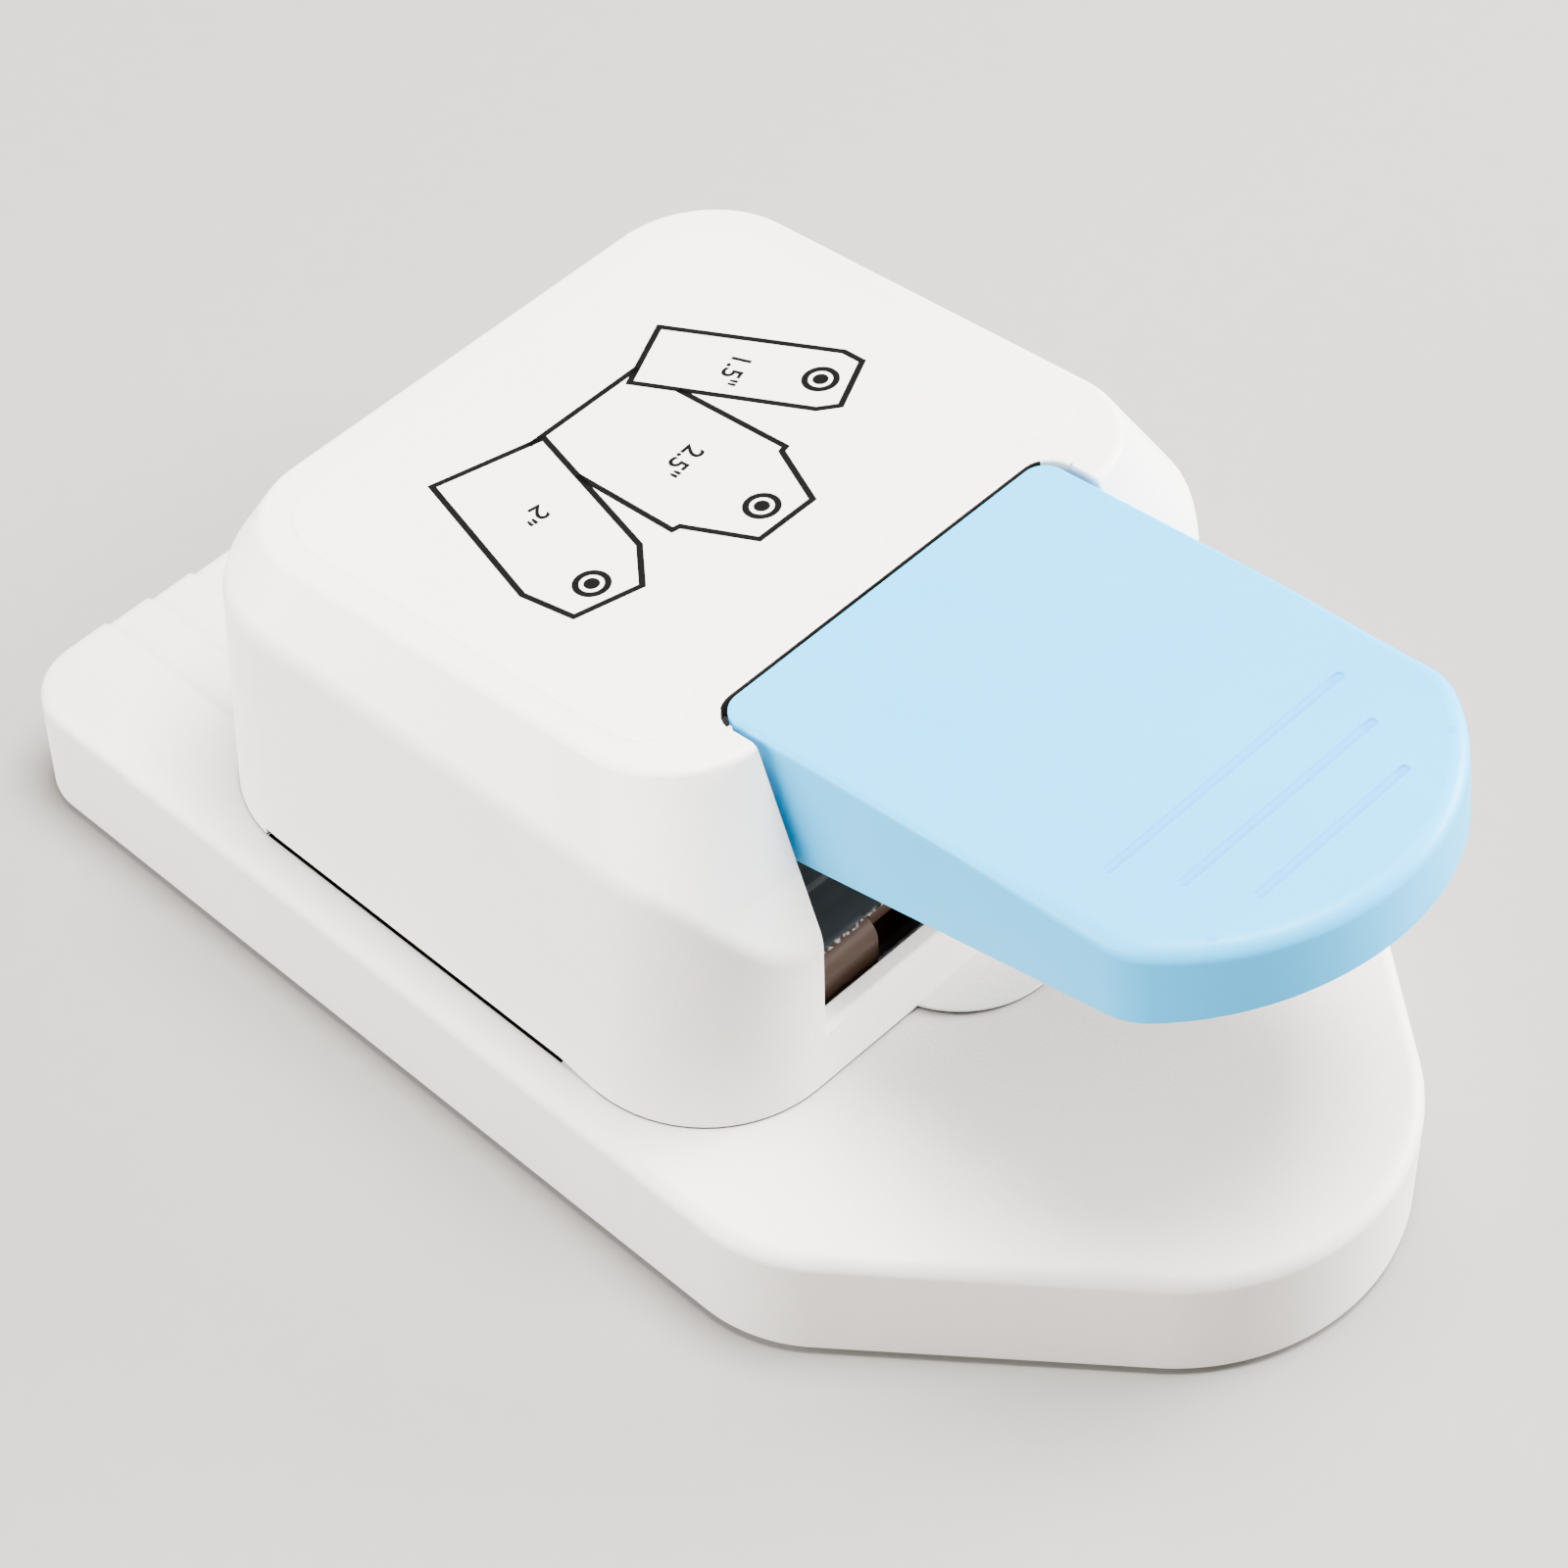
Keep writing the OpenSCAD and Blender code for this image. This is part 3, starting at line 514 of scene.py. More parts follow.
case = {"half": 42.7, "front": -26.9, "rear": 55.2, "corner": 16.0, "draft": 0.0353, "frontDraft": 0.012,
        "sideCrease": 50.3, "creaseFall": 0.059, "frontCrease": 39.3, "creaseStart": 20, "creaseSoft": 1.6,
        "topHeight": 59.87, "topRise": 0.132, "topHalf": 36.5, "topFront": -17.6, "topRear": 51.4,
        "topCorner": 12.0, "topEdge": 1.1, "topBand": 3.2, "wall": 2.4, "innerTop": 1.7, "innerCrease": 1.0,
        "innerEdge": 0.4, "notchHalf": 25.2, "notchRear": -10.55, "notchCorner": 3.4, "lip": 25.0, "gap": 0.1,
        "slotTop": 17.35, "slotInside": 35, "slotFront": -4.8, "slotRear": 41, "lowRows": (18.4, 21.5, 23.8),
        "lipXs": (0, 8, 16, 22), "bevel": 1.0}
# share of that bevel on the lip, the notch's sides, its top edge and the inner skin
notchEdges = {"lip": 1.0, "sides": 0.25, "top": 0.4, "inside": 0.3}


def topPlane(y, drop=0.0):
    return case["topHeight"] - drop - case["topRise"] * y


def smoothStep(t):
    t = min(1, max(0, t))
    return t * t * (3 - 2 * t)


def caseColumns():
    # places round the right half of the wall as (section, share of that section)
    # close pairs stand where the lower edge steps up into a slot
    turn = [i / 18 for i in range(18)]
    shares = {"corner": turn, "side": [0, 0.1218, 0.1222, 0.3, 0.5, 0.7, 0.9],
              "rearCorner": [0, 0.0715, 0.072] + turn[2:13] + [0.7092, 0.7097] + turn[13:],
              "rearEdge": [0, 0.35, 0.7, 1]}
    return [(section, share) for section in shares for share in shares[section]]


def planPoint(section, share, half, front, rear, r):
    # point of a rounded rectangle's right half, seen from above
    if section == "corner":
        startX = case["notchHalf"]
        if startX < half - r:
            straight, startAngle = half - r - startX, -90
        else:
            straight, startAngle = 0, -90 + math.degrees(math.asin((startX - half + r) / r))
        arcLength = math.radians(-startAngle) * r
        travel = share * (straight + arcLength)
        if travel < straight:
            return startX + travel, front
        angle = math.radians(startAngle) + (travel - straight) / r
        return half - r + r * math.cos(angle), front + r + r * math.sin(angle)
    if section == "side":
        return half, front + r + share * (rear - front - 2 * r)
    if section == "rearCorner":
        angle = math.radians(90 * share)
        return half - r + r * math.cos(angle), rear - r + r * math.sin(angle)
    return (half - r) * (1 - share), rear


def wallPoint(place, z, inset=0.0):
    # the drafted lower wall at a height
    rise = z - base["top"]
    take = inset + case["draft"] * rise
    front = case["front"] + inset + case["frontDraft"] * rise
    x, y = planPoint(*place, case["half"] - take, front, case["rear"] - take, case["corner"] - take)
    return Vector((x, y, z))


def creaseHeight(place):
    x, y = planPoint(*place, case["half"], case["front"], case["rear"], case["corner"])
    side = case["sideCrease"] - case["creaseFall"] * y
    if place[0] != "corner":
        return side
    turn = math.degrees(math.atan2(-(y - case["front"] - case["corner"]), x - case["half"] + case["corner"]))
    straightSide = case["sideCrease"] - case["creaseFall"] * max(y, case["front"] + case["corner"])
    share = smoothStep((turn - case["creaseStart"]) / (90 - case["creaseStart"]))
    return straightSide - (straightSide - case["frontCrease"]) * share


def topPoint(place, inset=0.0, drop=0.0):
    x, y = planPoint(*place, case["topHalf"] - inset, case["topFront"] + inset, case["topRear"] - inset,
                     case["topCorner"] - inset)
    return Vector((x, y, topPlane(y, drop)))


def roundedCorner(before, at, after, length, steps):
    # circular arc that eases the corner of a polyline
    toBefore, toAfter = (before - at).normalized(), (after - at).normalized()
    halfTurn = (math.pi - toBefore.angle(toAfter)) / 2
    radius = length / math.tan(halfTurn)
    centre = at + (toBefore + toAfter).normalized() * (radius / math.cos(halfTurn))
    start, end = at + toBefore * length - centre, at + toAfter * length - centre
    whole = start.angle(end)
    shares = [i / steps for i in range(steps + 1)]
    return [centre + (start * math.sin(whole * (1 - t)) + end * math.sin(whole * t)) / math.sin(whole)
            for t in shares]


def wallProfile(place, inset, topInset, drop, creaseSoft, topSoft, low):
    crease = wallPoint(place, creaseHeight(place), inset)
    edge = topPoint(place, topInset, drop)
    inner = topPoint(place, topInset + case["topBand"], drop)
    if place[0] == "corner" and place[1] == 0:
        for p in (crease, edge, inner):
            p.x = case["notchHalf"]
    lipPoint = wallPoint(place, case["lip"], inset)
    rows = [wallPoint(place, z, inset) for z in (low,) + case["lowRows"]] + [lipPoint]
    creaseArc = roundedCorner(lipPoint, crease, edge, creaseSoft, 6)
    rows += [lipPoint.lerp(creaseArc[0], t) for t in (0.35, 0.7)] + creaseArc
    halfTurn = (crease - edge).angle(inner - edge)
    topArc = roundedCorner(crease, edge, inner, topSoft / math.tan(halfTurn / 2), 8)
    rows += [creaseArc[-1].lerp(topArc[0], t) for t in (0.3, 0.65)] + topArc + [inner]
    return rows


def lowEdge(place):
    x, y = planPoint(*place, case["half"], case["front"], case["rear"], case["corner"])
    sideSlot = x > case["slotInside"] and case["slotFront"] < y < case["slotRear"]
    rearSlot = x < base["guideHalf"] and y > case["slotRear"] - 1
    return case["slotTop"] if sideSlot or rearSlot else base["top"] + case["gap"]


def notchPath(y0):
    # from the front on the right back along the notch to the centre line
    corner = arc(case["notchHalf"] - case["notchCorner"], case["notchRear"] - case["notchCorner"],
                 case["notchCorner"], 0, 90, 8)
    return [(case["notchHalf"], y0 + (corner[0][1] - y0) * 0.5)] + corner + [(10, case["notchRear"]),
                                                                            (0, case["notchRear"])]


def makeCasing():
    verts, faces, rounded = [], [], {}

    def add(p):
        verts.append(tuple(p))
        return len(verts) - 1

    places = caseColumns()
    lipHeights = (base["top"] + case["gap"],) + case["lowRows"] + (case["lip"],)
    lipRows, lipColumns = len(lipHeights), len(case["lipXs"])
    outside = (0, 0, 0, case["creaseSoft"], case["topEdge"])
    inside = (case["wall"], case["innerTop"], case["wall"], case["innerCrease"], case["innerEdge"])
    skins = []
    for inset, topInset, drop, creaseSoft, topSoft in (outside, inside):
        columns = []
        for x in case["lipXs"]:
            first = [wallPoint(places[0], z, inset) for z in lipHeights]
            columns.append([add((x, p.y, p.z)) for p in first])
        for place in places:
            columns.append([add(p) for p in wallProfile(place, inset, topInset, drop, creaseSoft, topSoft,
                                                        lowEdge(place))])
        for k in range(len(columns) - 1):
            rows = min(len(columns[k]), len(columns[k + 1]))
            for i in range(rows - 1):
                faces.append([columns[k][i], columns[k + 1][i], columns[k + 1][i + 1], columns[k][i + 1]])
        notch = [add((x, y, topPlane(y, drop))) for x, y in notchPath(verts[columns[lipColumns][-1]][1])]
        faces.append([c[-1] for c in columns[lipColumns:]] + notch[::-1])
        skins.append((columns, notch))
    outer, inner = skins[0][0], skins[1][0]
    # lower edge, then the rim all round the notch
    for k in range(len(outer) - 1):
        faces.append([outer[k][0], outer[k + 1][0], inner[k + 1][0], inner[k][0]])
    outerRim, innerRim = [
        [c[lipRows - 1] for c in columns[:lipColumns]] + columns[lipColumns][lipRows - 1:] + notch
        for columns, notch in skins]
    for a, b, c, d in zip(outerRim, outerRim[1:], innerRim[1:], innerRim):
        faces.append([a, b, c, d])
    lipEnd = outerRim.index(outer[lipColumns][lipRows - 1])
    topStart = outerRim.index(outer[lipColumns][-1])
    for k in range(len(outerRim) - 1):
        part = "lip" if k < lipEnd else "top" if k > topStart else "sides"
        rounded[(outerRim[k], outerRim[k + 1])] = notchEdges[part]
        rounded[(innerRim[k], innerRim[k + 1])] = notchEdges["inside"]
    # the left half, merged on the centre line
    count = len(verts)
    verts += [(-x, y, z) for x, y, z in verts]
    faces += [[count + i for i in reversed(face)] for face in faces]
    mesh = bpy.data.meshes.new("casing")
    mesh.from_pydata([(x * mm, y * mm, z * mm) for x, y, z in verts], [], faces)
    bm = bmesh.new()
    bm.from_mesh(mesh)
    bm.verts.ensure_lookup_table()
    weights = bm.edges.layers.float.new("bevel_weight_edge")
    for (a, b), weight in rounded.items():
        for shift in (0, count):
            edge = bm.edges.get((bm.verts[a + shift], bm.verts[b + shift]))
            if edge:
                edge[weights] = weight
    bmesh.ops.remove_doubles(bm, verts=bm.verts, dist=2e-7)
    bmesh.ops.recalc_face_normals(bm, faces=bm.faces)
    bm.to_mesh(mesh)
    bm.free()
    casing = addObject("casing", mesh)
    mod = casing.modifiers.new("edges", "BEVEL")
    mod.limit_method = "WEIGHT"
    mod.width = case["bevel"] * mm
    mod.segments = 4
    mod.use_clamp_overlap = False
    plainMesh(casing)
    return casing


# low round tongue in front of the lip: its middle, and its profile as (radius, height over the deck)
tongue = {"y": -22.2, "profile": [(12.4, 0.1), (12.4, 0.34), (12.34, 0.43), (12.2, 0.48), (11.4, 0.52),
                                  (8, 0.7), (4, 0.85)]}


def makeTongue():
    y, deck = tongue["y"], base["top"]
    return loft("tongue", [level(circle(0, y, r, 120), deck + h) for r, h in tongue["profile"]])


def behindLever(at, normal):
    # the wall of the narrow gap behind the lever
    return -11.2 < at.y < -9.9 and abs(at.x) < 25.4 and at.z > 55 and abs(normal.z) < 0.8


casing = joinPieces("casingMoulding", [makeCasing(), makeTongue()])
setMaterial(casing, casePlastic)
paintFaces(casing, gapShade, behindLever)
smoothHard(casing, 35)
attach(casing, "base")
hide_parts("upper_shell")
print("casing made")


label = {"half": 33.1, "rear": 48.0, "front": -6.5, "corner": 9, "rise": 0.06, "inkRise": 0.015, "sink": 0.01,
         "line": 0.74, "ring": 1.72, "ringLine": 0.74, "dot": 0.88, "numeral": 3.3, "numeralWeight": 0.07}
inkLow, inkHigh = label["rise"] - label["sink"], label["rise"] + label["inkRise"]
slope = math.atan(case["topRise"])
onTop = Matrix.Translation((0, 0, case["topHeight"] * mm)) @ Matrix.Rotation(-slope, 4, "X")


def placeOnTop(piece):
    piece.data.transform(onTop)
    return piece


def makeLabel():
    corner = label["corner"]
    outline = mirrored([(0, label["front"])] + arc(21.2, -13.1, 6.6, 90, 44.6, 8)
                       + arc(28.9, -5.5, 4.2, -135.4, 0, 16)
                       + arc(label["half"] - corner, label["rear"] - corner, corner, 0, 90, 16))
    return placeOnTop(prism("topLabel", outline, -2 * label["sink"], label["rise"]))


def strip(points, width, closed):
    # flat line of even width with mitred corners
    count = len(points)
    sides = ([], [])
    for i, p in enumerate(points):
        before = Vector(points[i - 1] if closed or i else p)
        after = Vector(points[(i + 1) % count] if closed or i < count - 1 else p)
        here = Vector(p)
        first = (here - before).normalized() if (here - before).length else (after - here).normalized()
        second = (after - here).normalized() if (after - here).length else first
        normal = Vector((-(first + second).y, (first + second).x)).normalized()
        reach = width / 2 / max(0.3, normal.dot(Vector((-first.y, first.x))))
        sides[0].append(here + normal * reach)
        sides[1].append(here - normal * reach)
    return sides


def lineMesh(name, points, width, closed=True):
    sides = strip(points, width, closed)
    count = len(points)
    verts = [(p.x, p.y, z) for z in (inkLow, inkHigh) for side in sides for p in side]
    faces = []
    for i in range(count if closed else count - 1):
        j = (i + 1) % count
        faces += [[2 * count + i, 3 * count + i, 3 * count + j, 2 * count + j], [i, j, count + j, count + i],
                  [i, 2 * count + i, 2 * count + j, j], [count + i, count + j, 3 * count + j, 3 * count + i]]
    if not closed:
        for i in (0, count - 1):
            faces.append([i, count + i, 3 * count + i, 2 * count + i])
    return fromLists(name, verts, faces)


def textMesh(words, x, y, size, turn):
    curve = bpy.data.curves.new("numeral", "FONT")
    curve.body = words
    curve.size = size
    curve.align_x = "CENTER"
    curve.align_y = "CENTER"
    curve.extrude = label["sink"]
    curve.offset = label["numeralWeight"]
    writing = addObject("numeral", curve)
    graph = bpy.context.evaluated_depsgraph_get()
    mesh = bpy.data.meshes.new_from_object(writing.evaluated_get(graph), depsgraph=graph)
    bpy.data.objects.remove(writing)
    place = Matrix.Translation((x, y, inkHigh - label["sink"]))
    mesh.transform(Matrix.Scale(mm, 4) @ place @ Matrix.Rotation(turn, 4, "Z"))
    return addObject("numeral", mesh)


# the middle tag lies below the other two, so its outline is in two open runs
tags = [
    {"size": "1.5\"", "target": (19.5, 16.5), "number": (15.0, 25.2), "turn": 18,
     "closed": [(15.4, 36.9), (24.4, 17.7), (24.4, 15.0), (17.6, 11.7), (15.6, 13.4), (6.7, 32.7)]},
    {"size": "2.5\"", "target": (0.8, 7.0), "number": (0.9, 19.0), "turn": 4,
     "open": [[(9.0, 33.8), (-7.2, 33.8)],
              [(-7.5, 26.1), (-7.6, 11.8), (-6.7, 11.6), (-3.1, 3.5), (4.8, 3.5), (8.4, 11.5), (9.2, 11.7),
               (9.0, 27.5)]]},
    {"size": "2\"", "target": (-18.6, 12.5), "number": (-14.7, 25.2), "turn": -10,
     "closed": [(-18.2, 37.2), (-5.4, 33.4), (-11.3, 12.9), (-15.6, 8.1), (-23.3, 10.3), (-24.2, 17.0)]}]


def makeLabelPrint():
    parts = []
    for tag in tags:
        if "closed" in tag:
            parts.append(lineMesh("outline", tag["closed"], label["line"]))
        for run in tag.get("open", []):
            parts.append(lineMesh("outline", run, label["line"], closed=False))
        x, y = tag["target"]
        parts.append(lineMesh("ring", circle(x, y, label["ring"]), label["ringLine"]))
        parts.append(prism("dot", circle(x, y, label["dot"], 24), inkLow, inkHigh))
        parts.append(textMesh(tag["size"], *tag["number"], label["numeral"], math.radians(180 + tag["turn"])))
    return placeOnTop(joinPieces("labelPrint", parts))


topLabel = makeLabel()
setMaterial(topLabel, labelFilm)
smoothHard(topLabel)
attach(topLabel, "base")
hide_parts("top_label")
labelPrint = makeLabelPrint()
setMaterial(labelPrint, printInk)
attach(labelPrint, "base")
print("label made")


lever = {"half": 24.4, "rear": -11.05, "nose": -78.4, "noseRadius": 28.0, "sideRadius": 8.0,
         "rearCorner": 3.0, "wall": 2.0, "noseEdge": 1.9, "sideEdge": 0.8, "rearEdge": 0.15, "lowEdge": 0.35,
         "skirtHeight": 42.65, "skirtRise": 0.25, "sideStations": (-54, -50, -46, -42, -30),
         "screwSpots": (-20, -38, -56),
         "screwPad": 3.4, "screwBore": 1.55, "grooveWidth": 1.15, "grooveDepth": 0.4,
         "grooves": [(-56.4, 17.6), (-63.1, 14.5), (-69.7, 11.3)]}
# hollow below the top as (extra inset, depth), and the open way behind it for the arm
leverHollow = [(0, -3.2), (0.5, -2.3), (1.2, -2.0)]
rearWay = ((-22.4, -16, -60), (22.4, 4, -2.0))


def leverOutline(inset):
    sideX = lever["half"] - lever["sideRadius"]
    turn = math.degrees(math.asin(sideX / (lever["noseRadius"] - lever["sideRadius"])))
    noseY = lever["nose"] + lever["noseRadius"]
    sideY = noseY - (lever["noseRadius"] - lever["sideRadius"]) * math.cos(math.radians(turn))
    back = lever["rearCorner"]
    return mirrored(arc(0, noseY, lever["noseRadius"] - inset, -90, turn - 90, 24)
                    + arc(sideX, sideY, lever["sideRadius"] - inset, turn - 90, 0, 16)
                    + [(lever["half"] - inset, s) for s in lever["sideStations"]]
                    + arc(lever["half"] - back, lever["rear"] - back, back - inset, 0, 90, 10))


def edgeRadius(s):
    # large round the nose, small along the sides, nearly sharp at the rear
    soft = lever["noseEdge"] + (lever["sideEdge"] - lever["noseEdge"]) * smoothStep((s + 60) / 18)
    rearShare = smoothStep((s - lever["rear"] + lever["rearCorner"]) / lever["rearCorner"])
    return soft + (lever["rearEdge"] - soft) * rearShare


def edgeRing(turn):
    whole, drawnIn = leverOutline(0), leverOutline(1)
    ring = []
    for (x, s), (innerX, innerS) in zip(whole, drawnIn):
        r = edgeRadius(s)
        inset = r * (1 - math.cos(turn))
        ring.append((x + inset * (innerX - x), s + inset * (innerS - s), r * (math.sin(turn) - 1)))
    return ring


def skirtLevel(s, lift=0.0):
    # depth below the sloping top at which the lower edge lies
    # a step down along the top's normal also shifts y
    sin, cos = math.sin(slope), math.cos(slope)
    clear = case["topHeight"] - s * sin - lever["skirtHeight"] + lever["skirtRise"] * s * cos
    return lift - clear / (cos - lever["skirtRise"] * sin)


def makeGroove(s, half):
    # shallow finger groove with round ends: a flattened capsule sunk in the top
    width, depth = lever["grooveWidth"] / 2, lever["grooveDepth"]
    rings = []
    for k in range(7):
        t = math.radians(90 * k / 6)
        r = width * math.cos(t) if k < 6 else 0.02
        z = -depth * math.sin(t)
        ends = arc(half - width, s, r, -90, 90, 10) + arc(-half + width, s, r, 90, 270, 10)
        rings.append([(x, y, z) for x, y in ends])
    rings.insert(0, [(x, y, 1.0) for x, y, z in rings[0]])
    return loft("groove", rings[::-1])


def inGroove(at, normal):
    near = any(abs(at.y - s) < lever["grooveWidth"] * 0.6 for s, half in lever["grooves"])
    return near and -0.6 < at.z < -0.01 and abs(at.x) < 18


def makeLever():
    def skirt(inset, lift=0.0):
        return [(x, s, skirtLevel(s, lift)) for x, s in leverOutline(inset)]

    low, wall = lever["lowEdge"], lever["wall"]
    outside = [skirt(low * (1 - math.sin(t)), low * (1 - math.cos(t))) for t in (0, 0.5, 1.0, math.pi / 2)]
    outside += [edgeRing(math.radians(90 * i / 8)) for i in range(9)]
    body = loft("leverBody", outside)
    inside = [[(x, s, z - 3) for x, s, z in skirt(wall)]]
    inside += [level(leverOutline(wall + extra), z) for extra, z in leverHollow]
    body = combine(body, [loft("inside", inside), block("rearWay", *rearWay)], "DIFFERENCE")
    pads = [post("pad", 0, s, lever["screwPad"], -3.4, -1.9) for s in lever["screwSpots"]]
    body = combine(body, pads, "UNION")
    cuts = [post("bore", 0, s, lever["screwBore"], -4, -1.2) for s in lever["screwSpots"]]
    cuts += [makeGroove(s, half) for s, half in lever["grooves"]]
    body = combine(body, cuts, "DIFFERENCE")
    setMaterial(body, leverPlastic)
    # painted shade on the groove faces
    paintFaces(body, leverGrooveShade, inGroove)
    return placeOnTop(body)


leverCover = makeLever()
leverCover.name = "leverMoulding"
smoothHard(leverCover, 35)
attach(leverCover, "lever")
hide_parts("lever_cover")
print("lever made")


# places, seat height, and whether the head looks down
screws = {
    "die_screws": {
        "spots": [(-36.3, -12.5), (36.3, -12.5), (-36.3, 19), (36.3, 19)], "seat": 13.15, "down": False,
        "body": "base", "Cross": False, "Head Radius": 1.7, "Head Height": 0.78, "Edge": 0.12,
        "Slot Length": 2.4, "Slot Width": 0.5, "Slot Depth": 0.4, "Shank Radius": 1.0, "Shank Length": 4.0},
    "case_screws": {
        "spots": casePosts, "seat": 4.98, "down": True,
        "body": "base", "Cross": True, "Head Radius": 2.9, "Head Height": 2.38, "Edge": 0.7,
        "Slot Length": 4.0, "Slot Width": 0.8, "Slot Depth": 1.3, "Shank Radius": 1.5, "Shank Length": 22.0},
    "cutter_screws": {
        "spots": [(-29, -9), (-30.5, 10), (29, -9), (30.5, 10)], "seat": 29.5, "down": False,
        "body": "punch", "Cross": True, "Head Radius": 2.3, "Head Height": 1.4, "Edge": 0.5,
        "Slot Length": 3.2, "Slot Width": 0.6, "Slot Depth": 0.7, "Shank Radius": 1.25, "Shank Length": 8.3},
    "lever_screws": {
        "spots": [(0, s) for s in lever["screwSpots"]], "seat": -5.0, "down": True,
        "body": "lever", "Cross": True, "Head Radius": 2.9, "Head Height": 1.8, "Edge": 0.6,
        "Slot Length": 4.0, "Slot Width": 0.8, "Slot Depth": 0.8, "Shank Radius": 1.5, "Shank Length": 3.6}}
rivets = {"spots": [(-15, 38), (15, 38), (-15, 46), (15, 46)], "seat": 21.35, "Head Radius": 2.6,
          "Head Height": 1.05, "Shank Radius": 1.5, "Shank Length": 3.98}
springs = {"spots": [(-31, 22.5), (31, 22.5), (-8, -9), (8, -9)], "seat": 19.4, "Coil Radius": 4.05,
           "Wire Radius": 0.35, "Height": 8.05, "Turns": 4.6, "Closed Turns": 0.55, "fixedEnd": 19.35,
           "keep": 0.306}


def placingTree(name, sizes):
    # geometry nodes that set one made piece on every point of a mesh; sizes in metres
    tree = bpy.data.node_groups.new(name, "GeometryNodeTree")
    sockets = [("Places", "Geometry")] + [(size, "Float") for size in sizes]
    sockets += [("Cross", "Bool"), ("Turn", "Vector"), ("Finish", "Material")]
    for socketName, kind in sockets:
        tree.interface.new_socket(name=socketName, in_out="INPUT", socket_type="NodeSocket" + kind)
    tree.interface.new_socket(name="Pieces", in_out="OUTPUT", socket_type="NodeSocketGeometry")
    return tree, tree.nodes.new("NodeGroupInput").outputs, tree.nodes.new("NodeGroupOutput")


def wired(tree, kind, settings=None, **sources):
    # a node whose inputs are linked or set by name
    node = tree.nodes.new(kind)
    for key, value in (settings or {}).items():
        setattr(node, key, value)
    for key, value in sources.items():
        socket = node.inputs[key.replace("_", " ")]
        if isinstance(value, bpy.types.NodeSocket):
            tree.links.new(value, socket)
        else:
            socket.default_value = value
    return node


def vectorOf(tree, x=0.0, y=0.0, z=0.0):
    return wired(tree, "ShaderNodeCombineXYZ", X=x, Y=y, Z=z).outputs[0]


def endTree(tree, given, groupOut, piece):
    placed = wired(tree, "GeometryNodeInstanceOnPoints", Points=given["Places"], Instance=piece,
                   Rotation=given["Turn"])
    real = wired(tree, "GeometryNodeRealizeInstances", Geometry=placed.outputs[0])
    finished = wired(tree, "GeometryNodeSetMaterial", Geometry=real.outputs[0], Material=given["Finish"])
    tree.links.new(finished.outputs[0], groupOut.inputs["Pieces"])
    return tree


def pointPlace(tree):
    position = tree.nodes.new("GeometryNodeInputPosition").outputs[0]
    return wired(tree, "ShaderNodeSeparateXYZ", Vector=position).outputs


def onShank(tree, given, head):
    # joins a head to its plain shank, whose end lies just inside the head
    length = given["Shank Length"]
    rod = wired(tree, "GeometryNodeMeshCylinder", Vertices=24, Radius=given["Shank Radius"], Depth=length)
    low = vectorOf(tree, z=mathNode(tree, "MULTIPLY", length, -0.49))
    shank = wired(tree, "GeometryNodeTransform", Geometry=rod.outputs[0], Translation=low)
    whole = tree.nodes.new("GeometryNodeJoinGeometry")
    for part in (head, shank.outputs[0]):
        tree.links.new(part, whole.inputs[0])
    return whole.outputs[0]


def makeScrewTree():
    # pan head with a slot or a cross, seated at zero, over a plain shank
    tree, given, groupOut = placingTree("screwHeads", [
        "Head Radius", "Head Height", "Edge", "Slot Length", "Slot Width", "Slot Depth", "Shank Radius",
        "Shank Length"])
    radius, height = given["Head Radius"], given["Head Height"]
    disc = wired(tree, "GeometryNodeMeshCylinder", Vertices=40, Side_Segments=2, Fill_Segments=5,
                 Radius=radius, Depth=height)
    place = pointPlace(tree)
    flat = vectorOf(tree, place["X"], place["Y"])
    reach = wired(tree, "ShaderNodeVectorMath", {"operation": "LENGTH"}, Vector=flat).outputs["Value"]
    share = mathNode(tree, "POWER", mathNode(tree, "DIVIDE", reach, radius), 4.0)
    upper = mathNode(tree, "GREATER_THAN", place["Z"], 0.0001)
    fall = mathNode(tree, "MULTIPLY", mathNode(tree, "MULTIPLY", share, upper), given["Edge"])
    lift = mathNode(tree, "SUBTRACT", mathNode(tree, "MULTIPLY", height, 0.5), fall)
    head = wired(tree, "GeometryNodeSetPosition", Geometry=disc.outputs[0], Offset=vectorOf(tree, z=lift))
    deep = mathNode(tree, "MULTIPLY", given["Slot Depth"], 2.0)
    top = vectorOf(tree, z=height)
    # one slot, then a second one across it
    stages = [head.outputs[0]]
    for along, across in (("Slot Length", "Slot Width"), ("Slot Width", "Slot Length")):
        bar = wired(tree, "GeometryNodeMeshCube", Size=vectorOf(tree, given[along], given[across], deep))
        barAt = wired(tree, "GeometryNodeTransform", Geometry=bar.outputs[0], Translation=top)
        cut = tree.nodes.new("GeometryNodeMeshBoolean")
        cut.operation = "DIFFERENCE"
        tree.links.new(stages[-1], cut.inputs["Mesh 1"])
        tree.links.new(barAt.outputs[0], cut.inputs["Mesh 2"])
        stages.append(cut.outputs["Mesh"])
    chosen = wired(tree, "GeometryNodeSwitch", {"input_type": "GEOMETRY"}, Switch=given["Cross"],
                   **{"False": stages[1], "True": stages[2]})
    return endTree(tree, given, groupOut, onShank(tree, given, chosen.outputs[0]))


